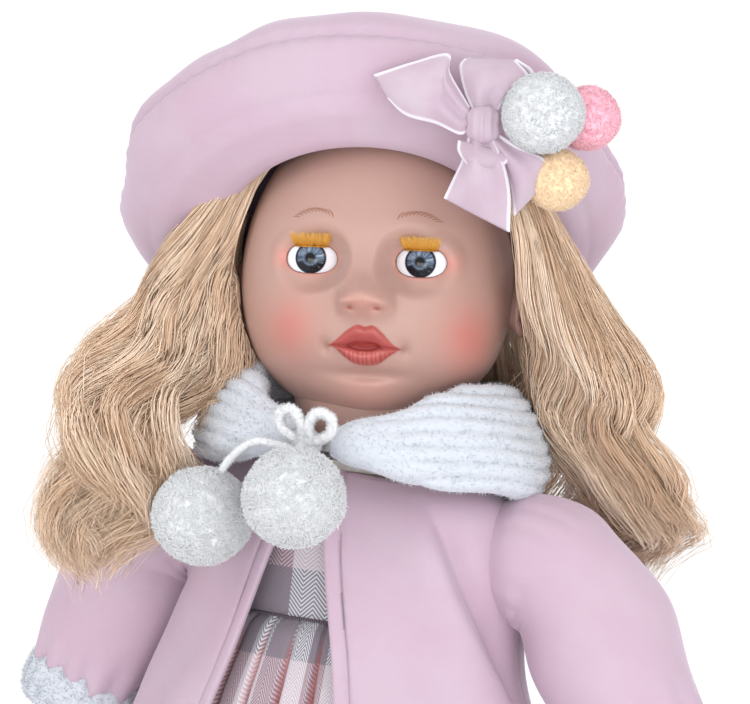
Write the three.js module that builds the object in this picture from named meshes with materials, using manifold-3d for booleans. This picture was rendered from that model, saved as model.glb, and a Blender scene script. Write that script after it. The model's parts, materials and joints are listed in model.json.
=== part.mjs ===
// A 46 cm talking toddler doll in winter clothes, standing. Millimetres, +Z up, the doll faces -Y.
// Vinyl head with weighted sleeping eyes, vinyl limbs, stuffed cloth body with a voice unit,
// and a dress, coat, plush collar and beret.
import * as THREE from "three";
import { mergeVertices } from "three/addons/utils/BufferGeometryUtils.js";
import Module from "manifold-3d";

const wasm = await Module();
wasm.setup();

// ---------------------------------------------------------------- driving dimensions
const GAP = 0.3; // between pieces that touch
const EYE_LEVEL = 395;
const CHIN = 341.5;
const CROWN = 450;
const NECK_Z = 333; // lower end of the head's neck, and the height of the swivel
const NECK_R = 19.5;
const HEAD_TURN = 14; // degrees, towards the doll's left
const HEAD_TILT = -4; // degrees, towards the doll's right shoulder
const SHOULDER = { x: 60.4, z: 300 }; // circular armholes, in planes of constant x
const HIP = { x: 27, z: 188, r: 20 };
const WAIST_Z = 272; // high waist seam of the dress
const DRESS_HEM_Z = 118;
const COAT_HEM_Z = 150;
const COAT_TOP_Z = 322;
const COAT_WALL = 2.2;
const ARM_DROP = { left: 55, right: 72 }; // degrees below level
const SLEEVE_LENGTH = 92;
const SOLE_T = 7;
const HAT_TILT = 38; // degrees, backwards
const HAT_LEAN = -6; // degrees, towards the doll's right

const HEAD = {
  centre: new THREE.Vector3(0, 2, 388),
  halfWidth: 47.3,
  front: 48,
  back: 52,
  up: CROWN - 388,
  down: 388 - CHIN,
  wall: 4,
};
const EYE = { x: 18.5, y: -28.8, z: EYE_LEVEL - 0.5, r: 9.6, swept: 10.3 };
const SOCKET = { inner: 10.5, outer: 11.6 };
const VOICE = { w: 50, h: 56, y0: -3, split: 11, y1: 27, z: 243, wall: 2 };
const KNOT = { x: 0, y: -58, z: 332, r: 4.2 };
const CORD_R = 1.1;
const POMPOM_R = 16.5;

const rad = THREE.MathUtils.degToRad;
const V = (x, y, z) => new THREE.Vector3(x, y, z);

// ---------------------------------------------------------------- solids
function toSolid(geometry) {
  const bare = geometry.index ? geometry.toNonIndexed() : geometry.clone();
  for (const name of Object.keys(bare.attributes)) {
    if (name !== "position") bare.deleteAttribute(name);
  }
  const merged = mergeVertices(bare, 1e-4);
  return new wasm.Manifold(
    new wasm.Mesh({
      numProp: 3,
      vertProperties: new Float32Array(merged.attributes.position.array),
      triVerts: new Uint32Array(merged.index.array),
    }),
  );
}

function toGeometry(solid) {
  const mesh = solid.getMesh();
  const points = new Float32Array(mesh.numVert * 3);
  for (let i = 0; i < mesh.numVert; i++) {
    points.set(mesh.vertProperties.subarray(i * mesh.numProp, i * mesh.numProp + 3), i * 3);
  }
  const geometry = new THREE.BufferGeometry();
  geometry.setAttribute("position", new THREE.BufferAttribute(points, 3));
  geometry.setIndex(new THREE.BufferAttribute(new Uint32Array(mesh.triVerts), 1));
  geometry.computeVertexNormals();
  return geometry;
}

const cut = (body, ...tools) =>
  toGeometry(tools.reduce((left, tool) => left.subtract(toSolid(tool)), toSolid(body)));
const join = (...bodies) => toGeometry(bodies.map(toSolid).reduce((a, b) => a.add(b)));
const common = (a, b) => toGeometry(toSolid(a).intersect(toSolid(b)));

// The largest connected piece of a solid, for cuts that leave crumbs.
function largest(geometry) {
  const pieces = toSolid(geometry).decompose();
  pieces.sort((a, b) => b.volume() - a.volume());
  return toGeometry(pieces[0]);
}

// ---------------------------------------------------------------- shapes
const box = (x0, x1, y0, y1, z0, z1) =>
  new THREE.BoxGeometry(x1 - x0, y1 - y0, z1 - z0).translate((x0 + x1) / 2, (y0 + y1) / 2, (z0 + z1) / 2);
const ball = (r, at, sides = 14) =>
  new THREE.SphereGeometry(r, sides, Math.round(sides * 0.6))
    .rotateX(Math.PI / 2)
    .translate(at.x, at.y, at.z);

function rod(r, from, to, sides = 12) {
  const along = to.clone().sub(from);
  const turn = new THREE.Quaternion().setFromUnitVectors(V(0, 1, 0), along.clone().normalize());
  const middle = from.clone().add(to).multiplyScalar(0.5);
  return new THREE.CylinderGeometry(r, r, along.length(), sides)
    .applyQuaternion(turn)
    .translate(middle.x, middle.y, middle.z);
}

// Joins rings of points into one skin; cyclic rings close on themselves, others get end caps.
function skin(rings, cyclic = false) {
  const n = rings[0].length;
  const points = rings.flat();
  const faces = [];
  const last = cyclic ? rings.length : rings.length - 1;
  for (let i = 0; i < last; i++) {
    const a = i * n;
    const b = ((i + 1) % rings.length) * n;
    for (let j = 0; j < n; j++) {
      const k = (j + 1) % n;
      faces.push(a + j, a + k, b + k, a + j, b + k, b + j);
    }
  }
  if (!cyclic) {
    for (const [ring, first, flip] of [
      [rings[0], 0, true],
      [rings.at(-1), (rings.length - 1) * n, false],
    ]) {
      const centre = ring.reduce((sum, p) => sum.clone().add(p), V(0, 0, 0)).divideScalar(n);
      points.push(centre);
      const c = points.length - 1;
      for (let j = 0; j < n; j++) {
        const k = (j + 1) % n;
        faces.push(...(flip ? [first + k, first + j, c] : [first + j, first + k, c]));
      }
    }
  }
  const geometry = new THREE.BufferGeometry().setFromPoints(points);
  geometry.setIndex(faces);
  geometry.computeVertexNormals();
  return geometry;
}

const ellipse = (z, rx, ry, sides, cx = 0, cy = 0) =>
  Array.from({ length: sides }, (_, i) => {
    const a = (2 * Math.PI * i) / sides;
    return V(cx + rx * Math.cos(a), cy + ry * Math.sin(a), z);
  });
// rows are [z, half width, half depth, centre x, centre y], upwards
const stack = (rows, sides) => skin(rows.map(([z, rx, ry, cx, cy]) => ellipse(z, rx, ry, sides, cx, cy)));

// A garment: a wall of even thickness that is open at its top and bottom.
function garment(rows, wall, sides) {
  const outer = rows.map(([z, rx, ry]) => ellipse(z, rx, ry, sides));
  const inner = rows.map(([z, rx, ry]) => ellipse(z, rx - wall, ry - wall, sides)).reverse();
  return skin([...outer, ...inner], true);
}

// A wall turned about +Z from a closed profile of [radius, height] that stays off the axis.
const ringOf = (profile, sides, squash = 1) =>
  skin(profile.map(([r, h]) => ellipse(h, r, r * squash, sides)), true);

function tube(points, r, steps) {
  const circle = new THREE.Shape();
  circle.absarc(0, 0, r, 0, 2 * Math.PI);
  return new THREE.ExtrudeGeometry(circle, {
    steps,
    curveSegments: 4,
    extrudePath: new THREE.CatmullRomCurve3(points),
  });
}

function extruded(outline, depth) {
  return new THREE.ExtrudeGeometry(new THREE.Shape(outline.map(([x, y]) => new THREE.Vector2(x, y))), {
    depth,
    bevelEnabled: false,
  });
}

// ---------------------------------------------------------------- scene graph
const doll = new THREE.Group();
const headPose = new THREE.Group(); // turned and tilted at the swivel
const headParts = new THREE.Group(); // takes pieces drawn in the doll's own axes
headPose.position.set(0, 0, NECK_Z);
headPose.rotation.set(0, rad(HEAD_TILT), rad(HEAD_TURN), "ZYX");
headParts.position.set(0, 0, -NECK_Z);
headPose.add(headParts);
doll.add(headPose);

const FINISHES = {
  vinyl: ["#e3b7a5", 0.55, 0],
  hair: ["#b8935f", 0.5, 0],
  velour: ["#e3bfd0", 0.9, 0],
  plush: ["#f1f1ef", 1, 0],
  check: ["#bdb4bb", 0.9, 0],
  cloth: ["#e9ded2", 0.95, 0],
  casing: ["#f0f0ee", 0.5, 0],
  metal: ["#b9babd", 0.35, 1],
  eyeWhite: ["#eeeff2", 0.15, 0],
  iris: ["#7f93a8", 0.1, 0],
  lash: ["#b9782a", 0.7, 0],
  battery: ["#3a5a86", 0.4, 0],
  board: ["#2d6a48", 0.6, 0],
  beige: ["#e2c19a", 1, 0],
  rose: ["#f0b5c8", 1, 0],
  shoe: ["#d99db4", 0.4, 0],
};

function add(name, finish, geometry, group = doll) {
  const [color, roughness, metalness] = FINISHES[finish];
  const mesh = new THREE.Mesh(geometry, new THREE.MeshStandardMaterial({ color, roughness, metalness }));
  mesh.name = name;
  group.add(mesh);
}
const SIDES = [
  ["left", 1],
  ["right", -1],
];
// A piece drawn on the doll's left, reflected to the right where side is -1.
function onSide(geometry, side) {
  if (side > 0) return geometry;
  const mirrored = geometry.index ? geometry.toNonIndexed() : geometry.clone();
  const p = mirrored.attributes.position;
  for (let i = 0; i < p.count; i++) p.setX(i, -p.getX(i));
  for (let i = 0; i < p.count; i += 3) {
    const [x, y, z] = [p.getX(i), p.getY(i), p.getZ(i)];
    p.setXYZ(i, p.getX(i + 1), p.getY(i + 1), p.getZ(i + 1));
    p.setXYZ(i + 1, x, y, z);
  }
  mirrored.computeVertexNormals();
  return mirrored;
}

// ---------------------------------------------------------------- head
const hump = (dx, dz, sx, sz) => Math.exp(-(dx * dx) / (2 * sx * sx) - (dz * dz) / (2 * sz * sz));
// How far the face stands proud of the plain egg: cheeks, eye hollows, nose, mouth and chin.
function relief(x, z) {
  const a = Math.abs(x);
  const h = z - EYE_LEVEL;
  return (
    3.2 * hump(a - 25, h + 20, 13, 12) -
    2.4 * hump(a - EYE.x, h, 9.5, 7) +
    1.6 * hump(x, h + 6, 4.5, 7) +
    7.5 * hump(x, h + 13.5, 5.2, 4.4) +
    3 * hump(x, h + 28, 13, 9) +
    4 * hump(x, h + 45, 10, 6)
  );
}
function eggRings(shrink, around, rows, withFace) {
  const rings = [];
  for (let i = 1; i < rows; i++) {
    const t = (Math.PI * i) / rows;
    rings.push(
      Array.from({ length: around }, (_, j) => {
        const u = (2 * Math.PI * (j + 0.5)) / around - Math.PI;
        const p = u - 0.5 * Math.sin(u) - Math.PI / 2; // closer together over the face
        const d = V(Math.sin(t) * Math.cos(p), Math.sin(t) * Math.sin(p), -Math.cos(t));
        const depth = (d.y < 0 ? HEAD.front : HEAD.back) - shrink;
        const height = (d.z < 0 ? HEAD.down : HEAD.up) - shrink;
        const size = 1 / Math.hypot(d.x / (HEAD.halfWidth - shrink), d.y / depth, d.z / height);
        const at = d.clone().multiplyScalar(size).add(HEAD.centre);
        if (withFace) at.y -= relief(at.x, at.z) * THREE.MathUtils.smoothstep(-d.y, 0, 0.5);
        return at;
      }),
    );
  }
  return rings;
}

// The sector that the lashes pass through as the eye closes.
function lashSweep(at) {
  const onArc = (r, degrees) => [-r * Math.cos(rad(degrees)), r * Math.sin(rad(degrees))];
  const outline = [
    onArc(9.6, 26),
    onArc(20, 26),
    onArc(20, -4),
    onArc(20, -34),
    onArc(9.6, -34),
    onArc(9, -4),
  ];
  return extruded(outline.reverse(), 10)
    .applyMatrix4(new THREE.Matrix4().makeBasis(V(0, 1, 0), V(0, 0, 1), V(1, 0, 0)))
    .translate(at.x - 5, at.y, at.z);
}

function headShell() {
  const egg = skin(eggRings(0, 24, 20, true));
  const neck = rod(NECK_R, V(0, 0, NECK_Z), V(0, 0, CHIN + 14), 18);
  const ear = new THREE.SphereGeometry(1, 8, 6).scale(4, 8, 11).translate(-48, 8, EYE_LEVEL - 12);
  const hollow = skin(eggRings(HEAD.wall, 14, 9, false));
  const throat = rod(14.5, V(0, 0, NECK_Z + 2.6), V(0, 0, CHIN + 22), 14);
  const lip = rod(9.2, V(0, 0, NECK_Z - 1), V(0, 0, NECK_Z + 6), 14);
  let shell = join(egg, neck, ear, onSide(ear, -1));
  shell = cut(shell, hollow, throat, lip);
  for (const [, side] of SIDES) {
    const at = V(side * EYE.x, EYE.y, EYE.z);
    const behindFace = box(at.x - 15, at.x + 15, -35.2, 0, at.z - 15, at.z + 15);
    const pocket = common(ball(SOCKET.outer + GAP, at), behindFace);
    const opening = new THREE.CylinderGeometry(1, 1, 30, 16)
      .scale(8.6, 1, 6)
      .translate(at.x, at.y - 15, at.z - 0.4);
    shell = cut(shell, pocket, ball(EYE.swept, at), opening, lashSweep(at));
  }
  return largest(shell);
}

function eyeSocket() {
  const at = V(EYE.x, EYE.y, EYE.z);
  return cut(
    ball(SOCKET.outer, at),
    ball(SOCKET.inner, at),
    box(at.x - 20, at.x + 20, at.y - 20, -34.4, at.z - 20, at.z + 20),
    box(at.x - 2.4, at.x + 2.4, at.y - 1, at.y + 20, at.z - 20, at.z + 3),
    rod(1.4, V(at.x - 20, at.y, at.z), V(at.x + 20, at.y, at.z), 8),
  );
}

// The eye turns on its axle; a lever behind it carries the weight that opens it.
const LEVER_SLOPE = rad(35);
const leverEnd = (length) =>
  V(EYE.x, EYE.y + length * Math.sin(LEVER_SLOPE), EYE.z - length * Math.cos(LEVER_SLOPE));
function eyeball() {
  const at = V(EYE.x, EYE.y, EYE.z);
  const axle = rod(1, V(at.x - 11.2, at.y, at.z), V(at.x + 11.2, at.y, at.z), 8);
  const lever = rod(1.3, at, leverEnd(17), 6);
  const seat = rod(4.9, V(at.x, at.y - 7.2, at.z), V(at.x, at.y - 14, at.z), 12);
  return cut(join(ball(EYE.r, at, 14), axle, lever), seat);
}
const irisInsert = () =>
  new THREE.LatheGeometry(
    [[0, 0], [4.4, 0], [4.4, 1.1], [3.2, 1.9], [0, 2.3]].map(([r, h]) => new THREE.Vector2(r, h)),
    12,
  )
    .rotateX(Math.PI)
    .translate(EYE.x, EYE.y - 7.5, EYE.z);

function lashes() {
  const outline = [[-9.4, 3.6], [-9.4, 4.1], [-12.6, 4.1], [-16.1, 6.7], [-16.4, 6.2], [-12.8, 3.5]];
  return extruded(outline, 8.4)
    .applyMatrix4(new THREE.Matrix4().makeBasis(V(0, 1, 0), V(0, 0, 1), V(1, 0, 0)))
    .translate(EYE.x - 4.2, EYE.y, EYE.z);
}

add("head_shell", "vinyl", headShell(), headParts);
for (const [name, side] of SIDES) {
  add(`${name}_eye_socket`, "casing", onSide(eyeSocket(), side), headParts);
  add(`${name}_eyeball`, "eyeWhite", onSide(eyeball(), side), headParts);
  add(`${name}_iris`, "iris", onSide(irisInsert(), side), headParts);
  add(`${name}_lashes`, "lash", onSide(lashes(), side), headParts);
  add(`${name}_eye_weight`, "metal", onSide(ball(3.6, leverEnd(21.2), 8), side), headParts);
}

// ---------------------------------------------------------------- beret, bow and its pompoms
// The hat's own axes: z is square to its opening, y runs down the back of the head.
const hat = new THREE.Matrix4()
  .makeTranslation(-5, 6.6, 397.5)
  .multiply(new THREE.Matrix4().makeRotationY(rad(HAT_LEAN)))
  .multiply(new THREE.Matrix4().makeRotationX(-rad(HAT_TILT)));
const onHat = (x, y, h) => V(x, y, h).applyMatrix4(hat);
const BRIM_ROWS = [
  // height, half width, half length, shift along y
  [0, 52, 56, 0],
  [-1.2, 61, 62, -1],
  [2, 72.5, 69, -3],
  [9, 82, 75.5, -6],
  [17, 86.5, 79, -8],
  [24, 87, 79.5, -8],
];
const CROWN_ROWS = [
  [24.4, 87, 79.5, -8],
  [33, 85, 77.5, -8],
  [42, 75, 68.5, -8],
  [49, 54, 50, -7],
  [52.4, 28, 28, -6],
];
const CROWN_TOP = [53.4, 6, 6, -6];
const hatRing = ([h, rx, ry, y], inset = 0) => ellipse(h, rx - inset, ry - inset, 22, 0, y);

const HAT_WALL = 2.4;
const HAT_SEAM_H = 24;
function beretBrim() {
  const outer = BRIM_ROWS.map((row) => hatRing(row));
  const inner = BRIM_ROWS.map(([h, rx, ry, y], i) =>
    i === 0
      ? hatRing([h + HAT_WALL, rx, ry, y])
      : hatRing([Math.min(h + HAT_WALL, HAT_SEAM_H), rx, ry, y], HAT_WALL),
  );
  return skin([...outer, ...inner.reverse()], true).applyMatrix4(hat);
}
function beretCrown() {
  const rows = [...CROWN_ROWS, CROWN_TOP];
  const below = [20, 84.4, 77, -8];
  const outer = skin(rows.map((row) => hatRing(row)));
  const inner = skin([below, ...rows].map(([h, rx, ry, y]) => hatRing([h - 2.6, rx, ry, y], HAT_WALL)));
  return cut(outer, inner).applyMatrix4(hat);
}
add("beret_brim", "velour", beretBrim(), headParts);
add("beret_crown", "velour", beretCrown(), headParts);

// The bow lies on the brim at the doll's left temple, just proud of it.
const BOW = { knot: V(40, -61, 439) };
const bowPoint = (dx, dy, dz) => BOW.knot.clone().add(V(dx, dy, dz));
const pad = (at, rx, ry, rz, turn = 0) =>
  new THREE.SphereGeometry(1, 12, 7)
    .scale(rx, ry, rz)
    .rotateY(rad(turn))
    .translate(at.x, at.y, at.z);
add("bow_knot", "velour", pad(BOW.knot, 5, 3.4, 6), headParts);
add("bow_side_tail", "velour", pad(bowPoint(-20.6, 1.6, 8), 15, 2.2, 8, 25), headParts);
add("bow_upper_loop", "velour", pad(bowPoint(1, 3.2, 16.2), 9.4, 3.2, 8.4, 12), headParts);
add("bow_lower_loops", "velour", pad(bowPoint(6, 2.6, -17), 11, 3.6, 10.2, 20), headParts);
add("hat_pompom_white", "plush", ball(13, bowPoint(19.5, -3, 4), 14), headParts);
add("hat_pompom_rose", "rose", ball(10.5, bowPoint(36.4, 15, 5), 12), headParts);
add("hat_pompom_beige", "beige", ball(10, bowPoint(27, 9, -18), 12), headParts);

// ---------------------------------------------------------------- cloth body and neck
// The space that a thigh takes when it swings forward (or back) by some degrees.
function legPath(side, degrees) {
  const hip = V(side * HIP.x, 0, HIP.z);
  const reach = V(0, -Math.sin(rad(degrees)), -Math.cos(rad(degrees))).multiplyScalar(60);
  return rod(HIP.r, hip, hip.clone().add(reach), 16);
}

function clothBody() {
  const rows = [
    [174, 14, 12],
    [179, 38, 28],
    [190, 46, 33],
    [215, 47, 34],
    [245, 45, 33],
    [272, 44, 32],
    [296, 47, 33],
    [308, 44, 30],
    [317, 34, 24],
    [320, 27, 22],
    [322.6, 18.6, 18.6],
    [326.4, 18.6, 18.6],
    [328, 20, 20],
  ];
  const half = { x: VOICE.w / 2 + GAP, z: VOICE.h / 2 + GAP };
  const pocket = box(-half.x, half.x, VOICE.y0 - 9, 60, VOICE.z - half.z, VOICE.z + half.z);
  let body = cut(stack(rows, 16), pocket);
  for (const [, side] of SIDES) {
    body = cut(
      body,
      ball(HIP.r + 1.8, V(side * HIP.x, 0, HIP.z), 12),
      legPath(side, 31),
      legPath(side, -26),
      box(side > 0 ? 4 : -70, side > 0 ? 70 : -4, -60, 60, 160, HIP.z),
      rod(6.6, V(side * 36, 0, SHOULDER.z), V(side * 70, 0, SHOULDER.z), 12),
    );
  }
  return largest(body);
}
add("cloth_body", "cloth", clothBody());
add(
  "neck_swivel",
  "casing",
  new THREE.LatheGeometry(
    [
      [0, 328.3],
      [18, 328.3],
      [18, 331.2],
      [8.2, 331.2],
      [8.2, 338.2],
      [13, 338.2],
      [13, 341],
      [0, 341],
    ].map(([r, h]) => new THREE.Vector2(r, h)),
    18,
  ).rotateX(Math.PI / 2),
);
add("neck_cable_tie", "casing", ringOf([[19, 323], [21, 323], [21, 326], [19, 326]], 20));

// ---------------------------------------------------------------- voice unit
const VZ0 = VOICE.z - VOICE.h / 2;
const VZ1 = VOICE.z + VOICE.h / 2;
const VX = VOICE.w / 2;
const CELL = { r: 5.2, length: 44, y: 17, z: VOICE.z + 4, xs: [-13, 0, 13] };
const BUTTON = { z: VOICE.z - 16, r: 6, travel: 2, y0: -8.4 };

function caseFront() {
  const wall = VOICE.wall;
  const shell = cut(
    box(-VX, VX, VOICE.y0, VOICE.split, VZ0, VZ1),
    box(-VX + wall, VX - wall, VOICE.y0 + wall, VOICE.split + 1, VZ0 + wall, VZ1 - wall),
    rod(BUTTON.r + GAP, V(0, -10, BUTTON.z), V(0, 0, BUTTON.z), 14),
  );
  const slots = [-9, -3, 3, 9].map((x) => box(x - 1, x + 1, -10, 0, VOICE.z + 2, VOICE.z + 20));
  return cut(shell, ...slots);
}
function caseBack() {
  const wall = VOICE.wall;
  return cut(
    box(-VX, VX, VOICE.split + GAP, VOICE.y1, VZ0, VZ1),
    box(-VX + wall, VX - wall, VOICE.split, VOICE.y1 - 2 * wall, VZ0 + wall, VZ1 - wall),
    box(-21, 21, 20, 40, VZ0 + 9, VZ1 - 1.4 * wall),
    box(-5, 5, 20, 40, VZ0 + 3.4, VZ0 + 6.6),
    rod(1.5, V(0, 20, VZ1 - 1.4), V(0, 30, VZ1 - 1.4), 10),
  );
}
add("voice_case_front", "casing", caseFront());
add("voice_case_back", "casing", largest(caseBack()));
const SPEAKER_Z = VOICE.z + 12;
add(
  "speaker",
  "metal",
  join(
    rod(11, V(0, 0, SPEAKER_Z), V(0, 3, SPEAKER_Z), 16),
    rod(6, V(0, 2, SPEAKER_Z), V(0, 8, SPEAKER_Z), 12),
  ),
);
add("circuit_board", "board", box(-20, 20, 9.2, 10.8, VZ0 + 4, VZ1 - 4));
CELL.xs.forEach((x, i) =>
  add(
    `battery_${i + 1}`,
    "battery",
    rod(CELL.r, V(x, CELL.y, CELL.z - CELL.length / 2), V(x, CELL.y, CELL.z + CELL.length / 2), 12),
  ),
);
add(
  "battery_door",
  "casing",
  cut(
    box(-20.6, 20.6, VOICE.y1 - 2.4, VOICE.y1 - 0.4, VZ0 + 9.4, VZ1 - 3.2),
    rod(1.9, V(0, 20, VZ1 - 6), V(0, 30, VZ1 - 6), 12),
  ),
);
add(
  "battery_door_screw",
  "metal",
  rod(1.5, V(0, VOICE.y1 - 3, VZ1 - 6), V(0, VOICE.y1 + 0.4, VZ1 - 6), 12),
);
add(
  "press_button",
  "rose",
  join(
    rod(BUTTON.r, V(0, BUTTON.y0, BUTTON.z), V(0, 0, BUTTON.z), 14),
    rod(BUTTON.r + 2, V(0, -0.7, BUTTON.z), V(0, 0.8, BUTTON.z), 14),
    rod(2, V(0, -2, BUTTON.z), V(0, 3, BUTTON.z), 8),
  ),
);
add(
  "button_spring",
  "metal",
  ringOf([[3, 1.1], [4.4, 1.1], [4.4, 8.9], [3, 8.9]], 10)
    .rotateX(-Math.PI / 2)
    .translate(0, 0, BUTTON.z),
);
const SWITCH_X = -2.5; // off; on is the same distance to the other side
add(
  "power_switch",
  "casing",
  join(
    box(SWITCH_X - 2, SWITCH_X + 2, 21.5, VOICE.y1 + 1.4, VZ0 + 3.8, VZ0 + 6.2),
    box(SWITCH_X - 4, SWITCH_X + 4, 20.6, 22.6, VZ0 + 2.6, VZ0 + 7.4),
  ),
);

// ---------------------------------------------------------------- dress
const armholes = SIDES.map(([, side]) =>
  rod(15, V(side * 30, 0, SHOULDER.z), V(side * 75, 0, SHOULDER.z), 12),
);
const BODICE_ROWS = [
  [WAIST_Z, 48, 36],
  [284, 49.4, 36],
  [297, 50, 35.5],
  [309, 47, 33],
  [317, 38, 28],
  [321, 29.6, 25.6],
];
const SKIRT_ROWS = [
  [DRESS_HEM_Z, 89, 73],
  [160, 80, 65],
  [200, 70, 57],
  [244, 60, 47],
  [WAIST_Z - 0.4, 49, 37],
];
add("dress_bodice", "check", cut(garment(BODICE_ROWS, 1.2, 18), ...armholes));
add("dress_skirt", "check", garment(SKIRT_ROWS, 2, 24));

// ---------------------------------------------------------------- coat
const COAT_ROWS = [
  [COAT_HEM_Z, 96, 80],
  [180, 88, 71],
  [215, 77.5, 61],
  [240, 68.5, 53],
  [262, 60.2, 46.4],
  [276, 59.4, 45],
  [296, 59.4, 42],
  [304, 58.8, 39.6],
  [312, 56, 36.6],
  [318, 50, 32.6],
  [COAT_TOP_Z, 42, 29],
];
function coatPanels() {
  const whole = garment(COAT_ROWS, COAT_WALL, 28);
  const rightEdge = (z) => -8 - 0.235 * (COAT_TOP_Z - z);
  const leftEdge = (z) => -2 + 0.25 * (COAT_TOP_Z - z);
  const low = COAT_HEM_Z - 5;
  const high = COAT_TOP_Z + 5;
  const wedge = extruded(
    [[rightEdge(low), low], [leftEdge(low), low], [leftEdge(high), high], [rightEdge(high), high]],
    120,
  ).rotateX(Math.PI / 2);
  const open = toSolid(cut(whole, wedge, ...armholes));
  const region = (x0, x1, y0, y1) => toSolid(box(x0, x1, y0, y1, 100, 400));
  return {
    coat_left_front: toGeometry(open.intersect(region(0, 150, -150, -GAP / 2))),
    coat_right_front: toGeometry(open.intersect(region(-150, 0, -150, -GAP / 2))),
    coat_back: toGeometry(open.intersect(region(-150, 150, GAP / 2, 150))),
  };
}
for (const [name, geometry] of Object.entries(coatPanels())) {
  add(name, "velour", largest(geometry));
}

// ---------------------------------------------------------------- arms and sleeves
// The sleeve leaves its round armhole level, then bends down to the arm's direction.
const BEND_R = 24;
function sleevePath(s, dropDegrees) {
  const drop = rad(dropDegrees);
  const arc = BEND_R * drop;
  const a = Math.min(s, arc) / BEND_R;
  const straight = Math.max(0, s - arc);
  return {
    at: V(
      SHOULDER.x + BEND_R * Math.sin(a) + straight * Math.cos(drop),
      0,
      SHOULDER.z - BEND_R * (1 - Math.cos(a)) - straight * Math.sin(drop),
    ),
    angle: a,
  };
}
function sleeveRing(s, r, drop, sides) {
  const { at, angle } = sleevePath(s, drop);
  const side = V(0, 1, 0);
  const up = V(Math.sin(angle), 0, Math.cos(angle));
  return Array.from({ length: sides }, (_, i) => {
    const t = (2 * Math.PI * i) / sides;
    return at.clone().addScaledVector(side, r * Math.cos(t)).addScaledVector(up, r * Math.sin(t));
  });
}
const SLEEVE_RADII = [
  [0, 21],
  [12, 22],
  [26, 22.6],
  [45, 23.4],
  [65, 22.6],
  [78, 19.5],
  [SLEEVE_LENGTH, 18.5],
];
function sleeve(drop) {
  const outer = SLEEVE_RADII.map(([s, r]) => sleeveRing(s, r, drop, 14));
  const inner = SLEEVE_RADII.map(([s, r]) => sleeveRing(s, r - 2, drop, 14)).reverse();
  return skin([...outer, ...inner], true);
}
function arm(drop) {
  const rings = [
    [8, 9],
    [12, 12],
    [30, 12.5],
    [50, 11.5],
    [70, 11],
    [90, 8.6],
    [97, 8.2],
    [104, 10],
    [114, 10.4],
    [122, 8],
    [127, 4],
  ].map(([s, r]) => {
    const ring = sleeveRing(s, r, drop, 12);
    const flat = s > 98 ? 0.62 : 1; // the hand is flatter than the arm
    const { at } = sleevePath(s, drop);
    return ring.map((p) => {
      const out = p.clone().sub(at);
      return at.clone().add(V(out.x * flat, out.y, out.z * flat));
    });
  });
  const hub = rod(5.8, V(38, 0, SHOULDER.z), V(72, 0, SHOULDER.z), 12);
  const thumb = pad(sleevePath(103, drop).at.clone().add(V(0, -10, 0)), 3.2, 6, 4.4);
  return join(skin(rings), hub, thumb);
}
for (const [name, side] of SIDES) {
  add(`${name}_arm`, "vinyl", onSide(arm(ARM_DROP[name]), side));
  add(`${name}_sleeve`, "velour", onSide(sleeve(ARM_DROP[name]), side));
}

// ---------------------------------------------------------------- legs and shoes
function leg() {
  const rows = [
    [SOLE_T + 12, 11, 13, HIP.x, 2],
    [36, 11, 11.6, HIP.x, 1],
    [55, 13.5, 14.5, HIP.x, 0.6],
    [75, 15, 16, HIP.x, 0.6],
    [97, 13.8, 14.2, HIP.x, 0],
    [120, 15.4, 16, HIP.x, 0],
    [150, 17.4, 18, HIP.x, 0],
    [176, 18.4, 19, HIP.x, 0],
    [HIP.z, 17, 17, HIP.x, 0],
  ];
  const foot = new THREE.SphereGeometry(1, 12, 8).scale(14.4, 32, 17).translate(HIP.x, -11, SOLE_T + 1.2);
  const level = box(0, 60, -60, 60, -20, SOLE_T + GAP);
  return join(stack(rows, 12), ball(HIP.r, V(HIP.x, 0, HIP.z), 12), cut(foot, level));
}
function soleOutline(w, front, back) {
  const outline = [];
  for (let i = 0; i < 16; i++) {
    const a = (2 * Math.PI * i) / 16;
    const c = Math.cos(a);
    const s = Math.sin(a);
    const long = s < 0 ? front : back;
    outline.push([
      HIP.x + w * Math.sign(c) * Math.abs(c) ** 0.8,
      -4 + long * Math.sign(s) * Math.abs(s) ** 0.9,
    ]);
  }
  return outline;
}
function shoe() {
  const sole = extruded(soleOutline(17.6, 45, 33), SOLE_T);
  const upper = (inset) =>
    new THREE.SphereGeometry(1, 14, 8)
      .scale(17 - inset, 38 - inset, 25 - inset)
      .translate(HIP.x, -10, SOLE_T);
  const shell = cut(upper(0), upper(1.7), box(0, 60, -80, 60, -40, SOLE_T - 0.5));
  const mouth = new THREE.CylinderGeometry(1, 1, 40, 12)
    .rotateX(Math.PI / 2)
    .scale(12.4, 23, 1)
    .translate(HIP.x, -2, 36.5);
  return largest(join(sole, cut(shell, mouth)));
}
for (const [name, side] of SIDES) {
  add(`${name}_leg`, "vinyl", onSide(leg(), side));
  add(`${name}_shoe`, "shoe", onSide(shoe(), side));
}

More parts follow.
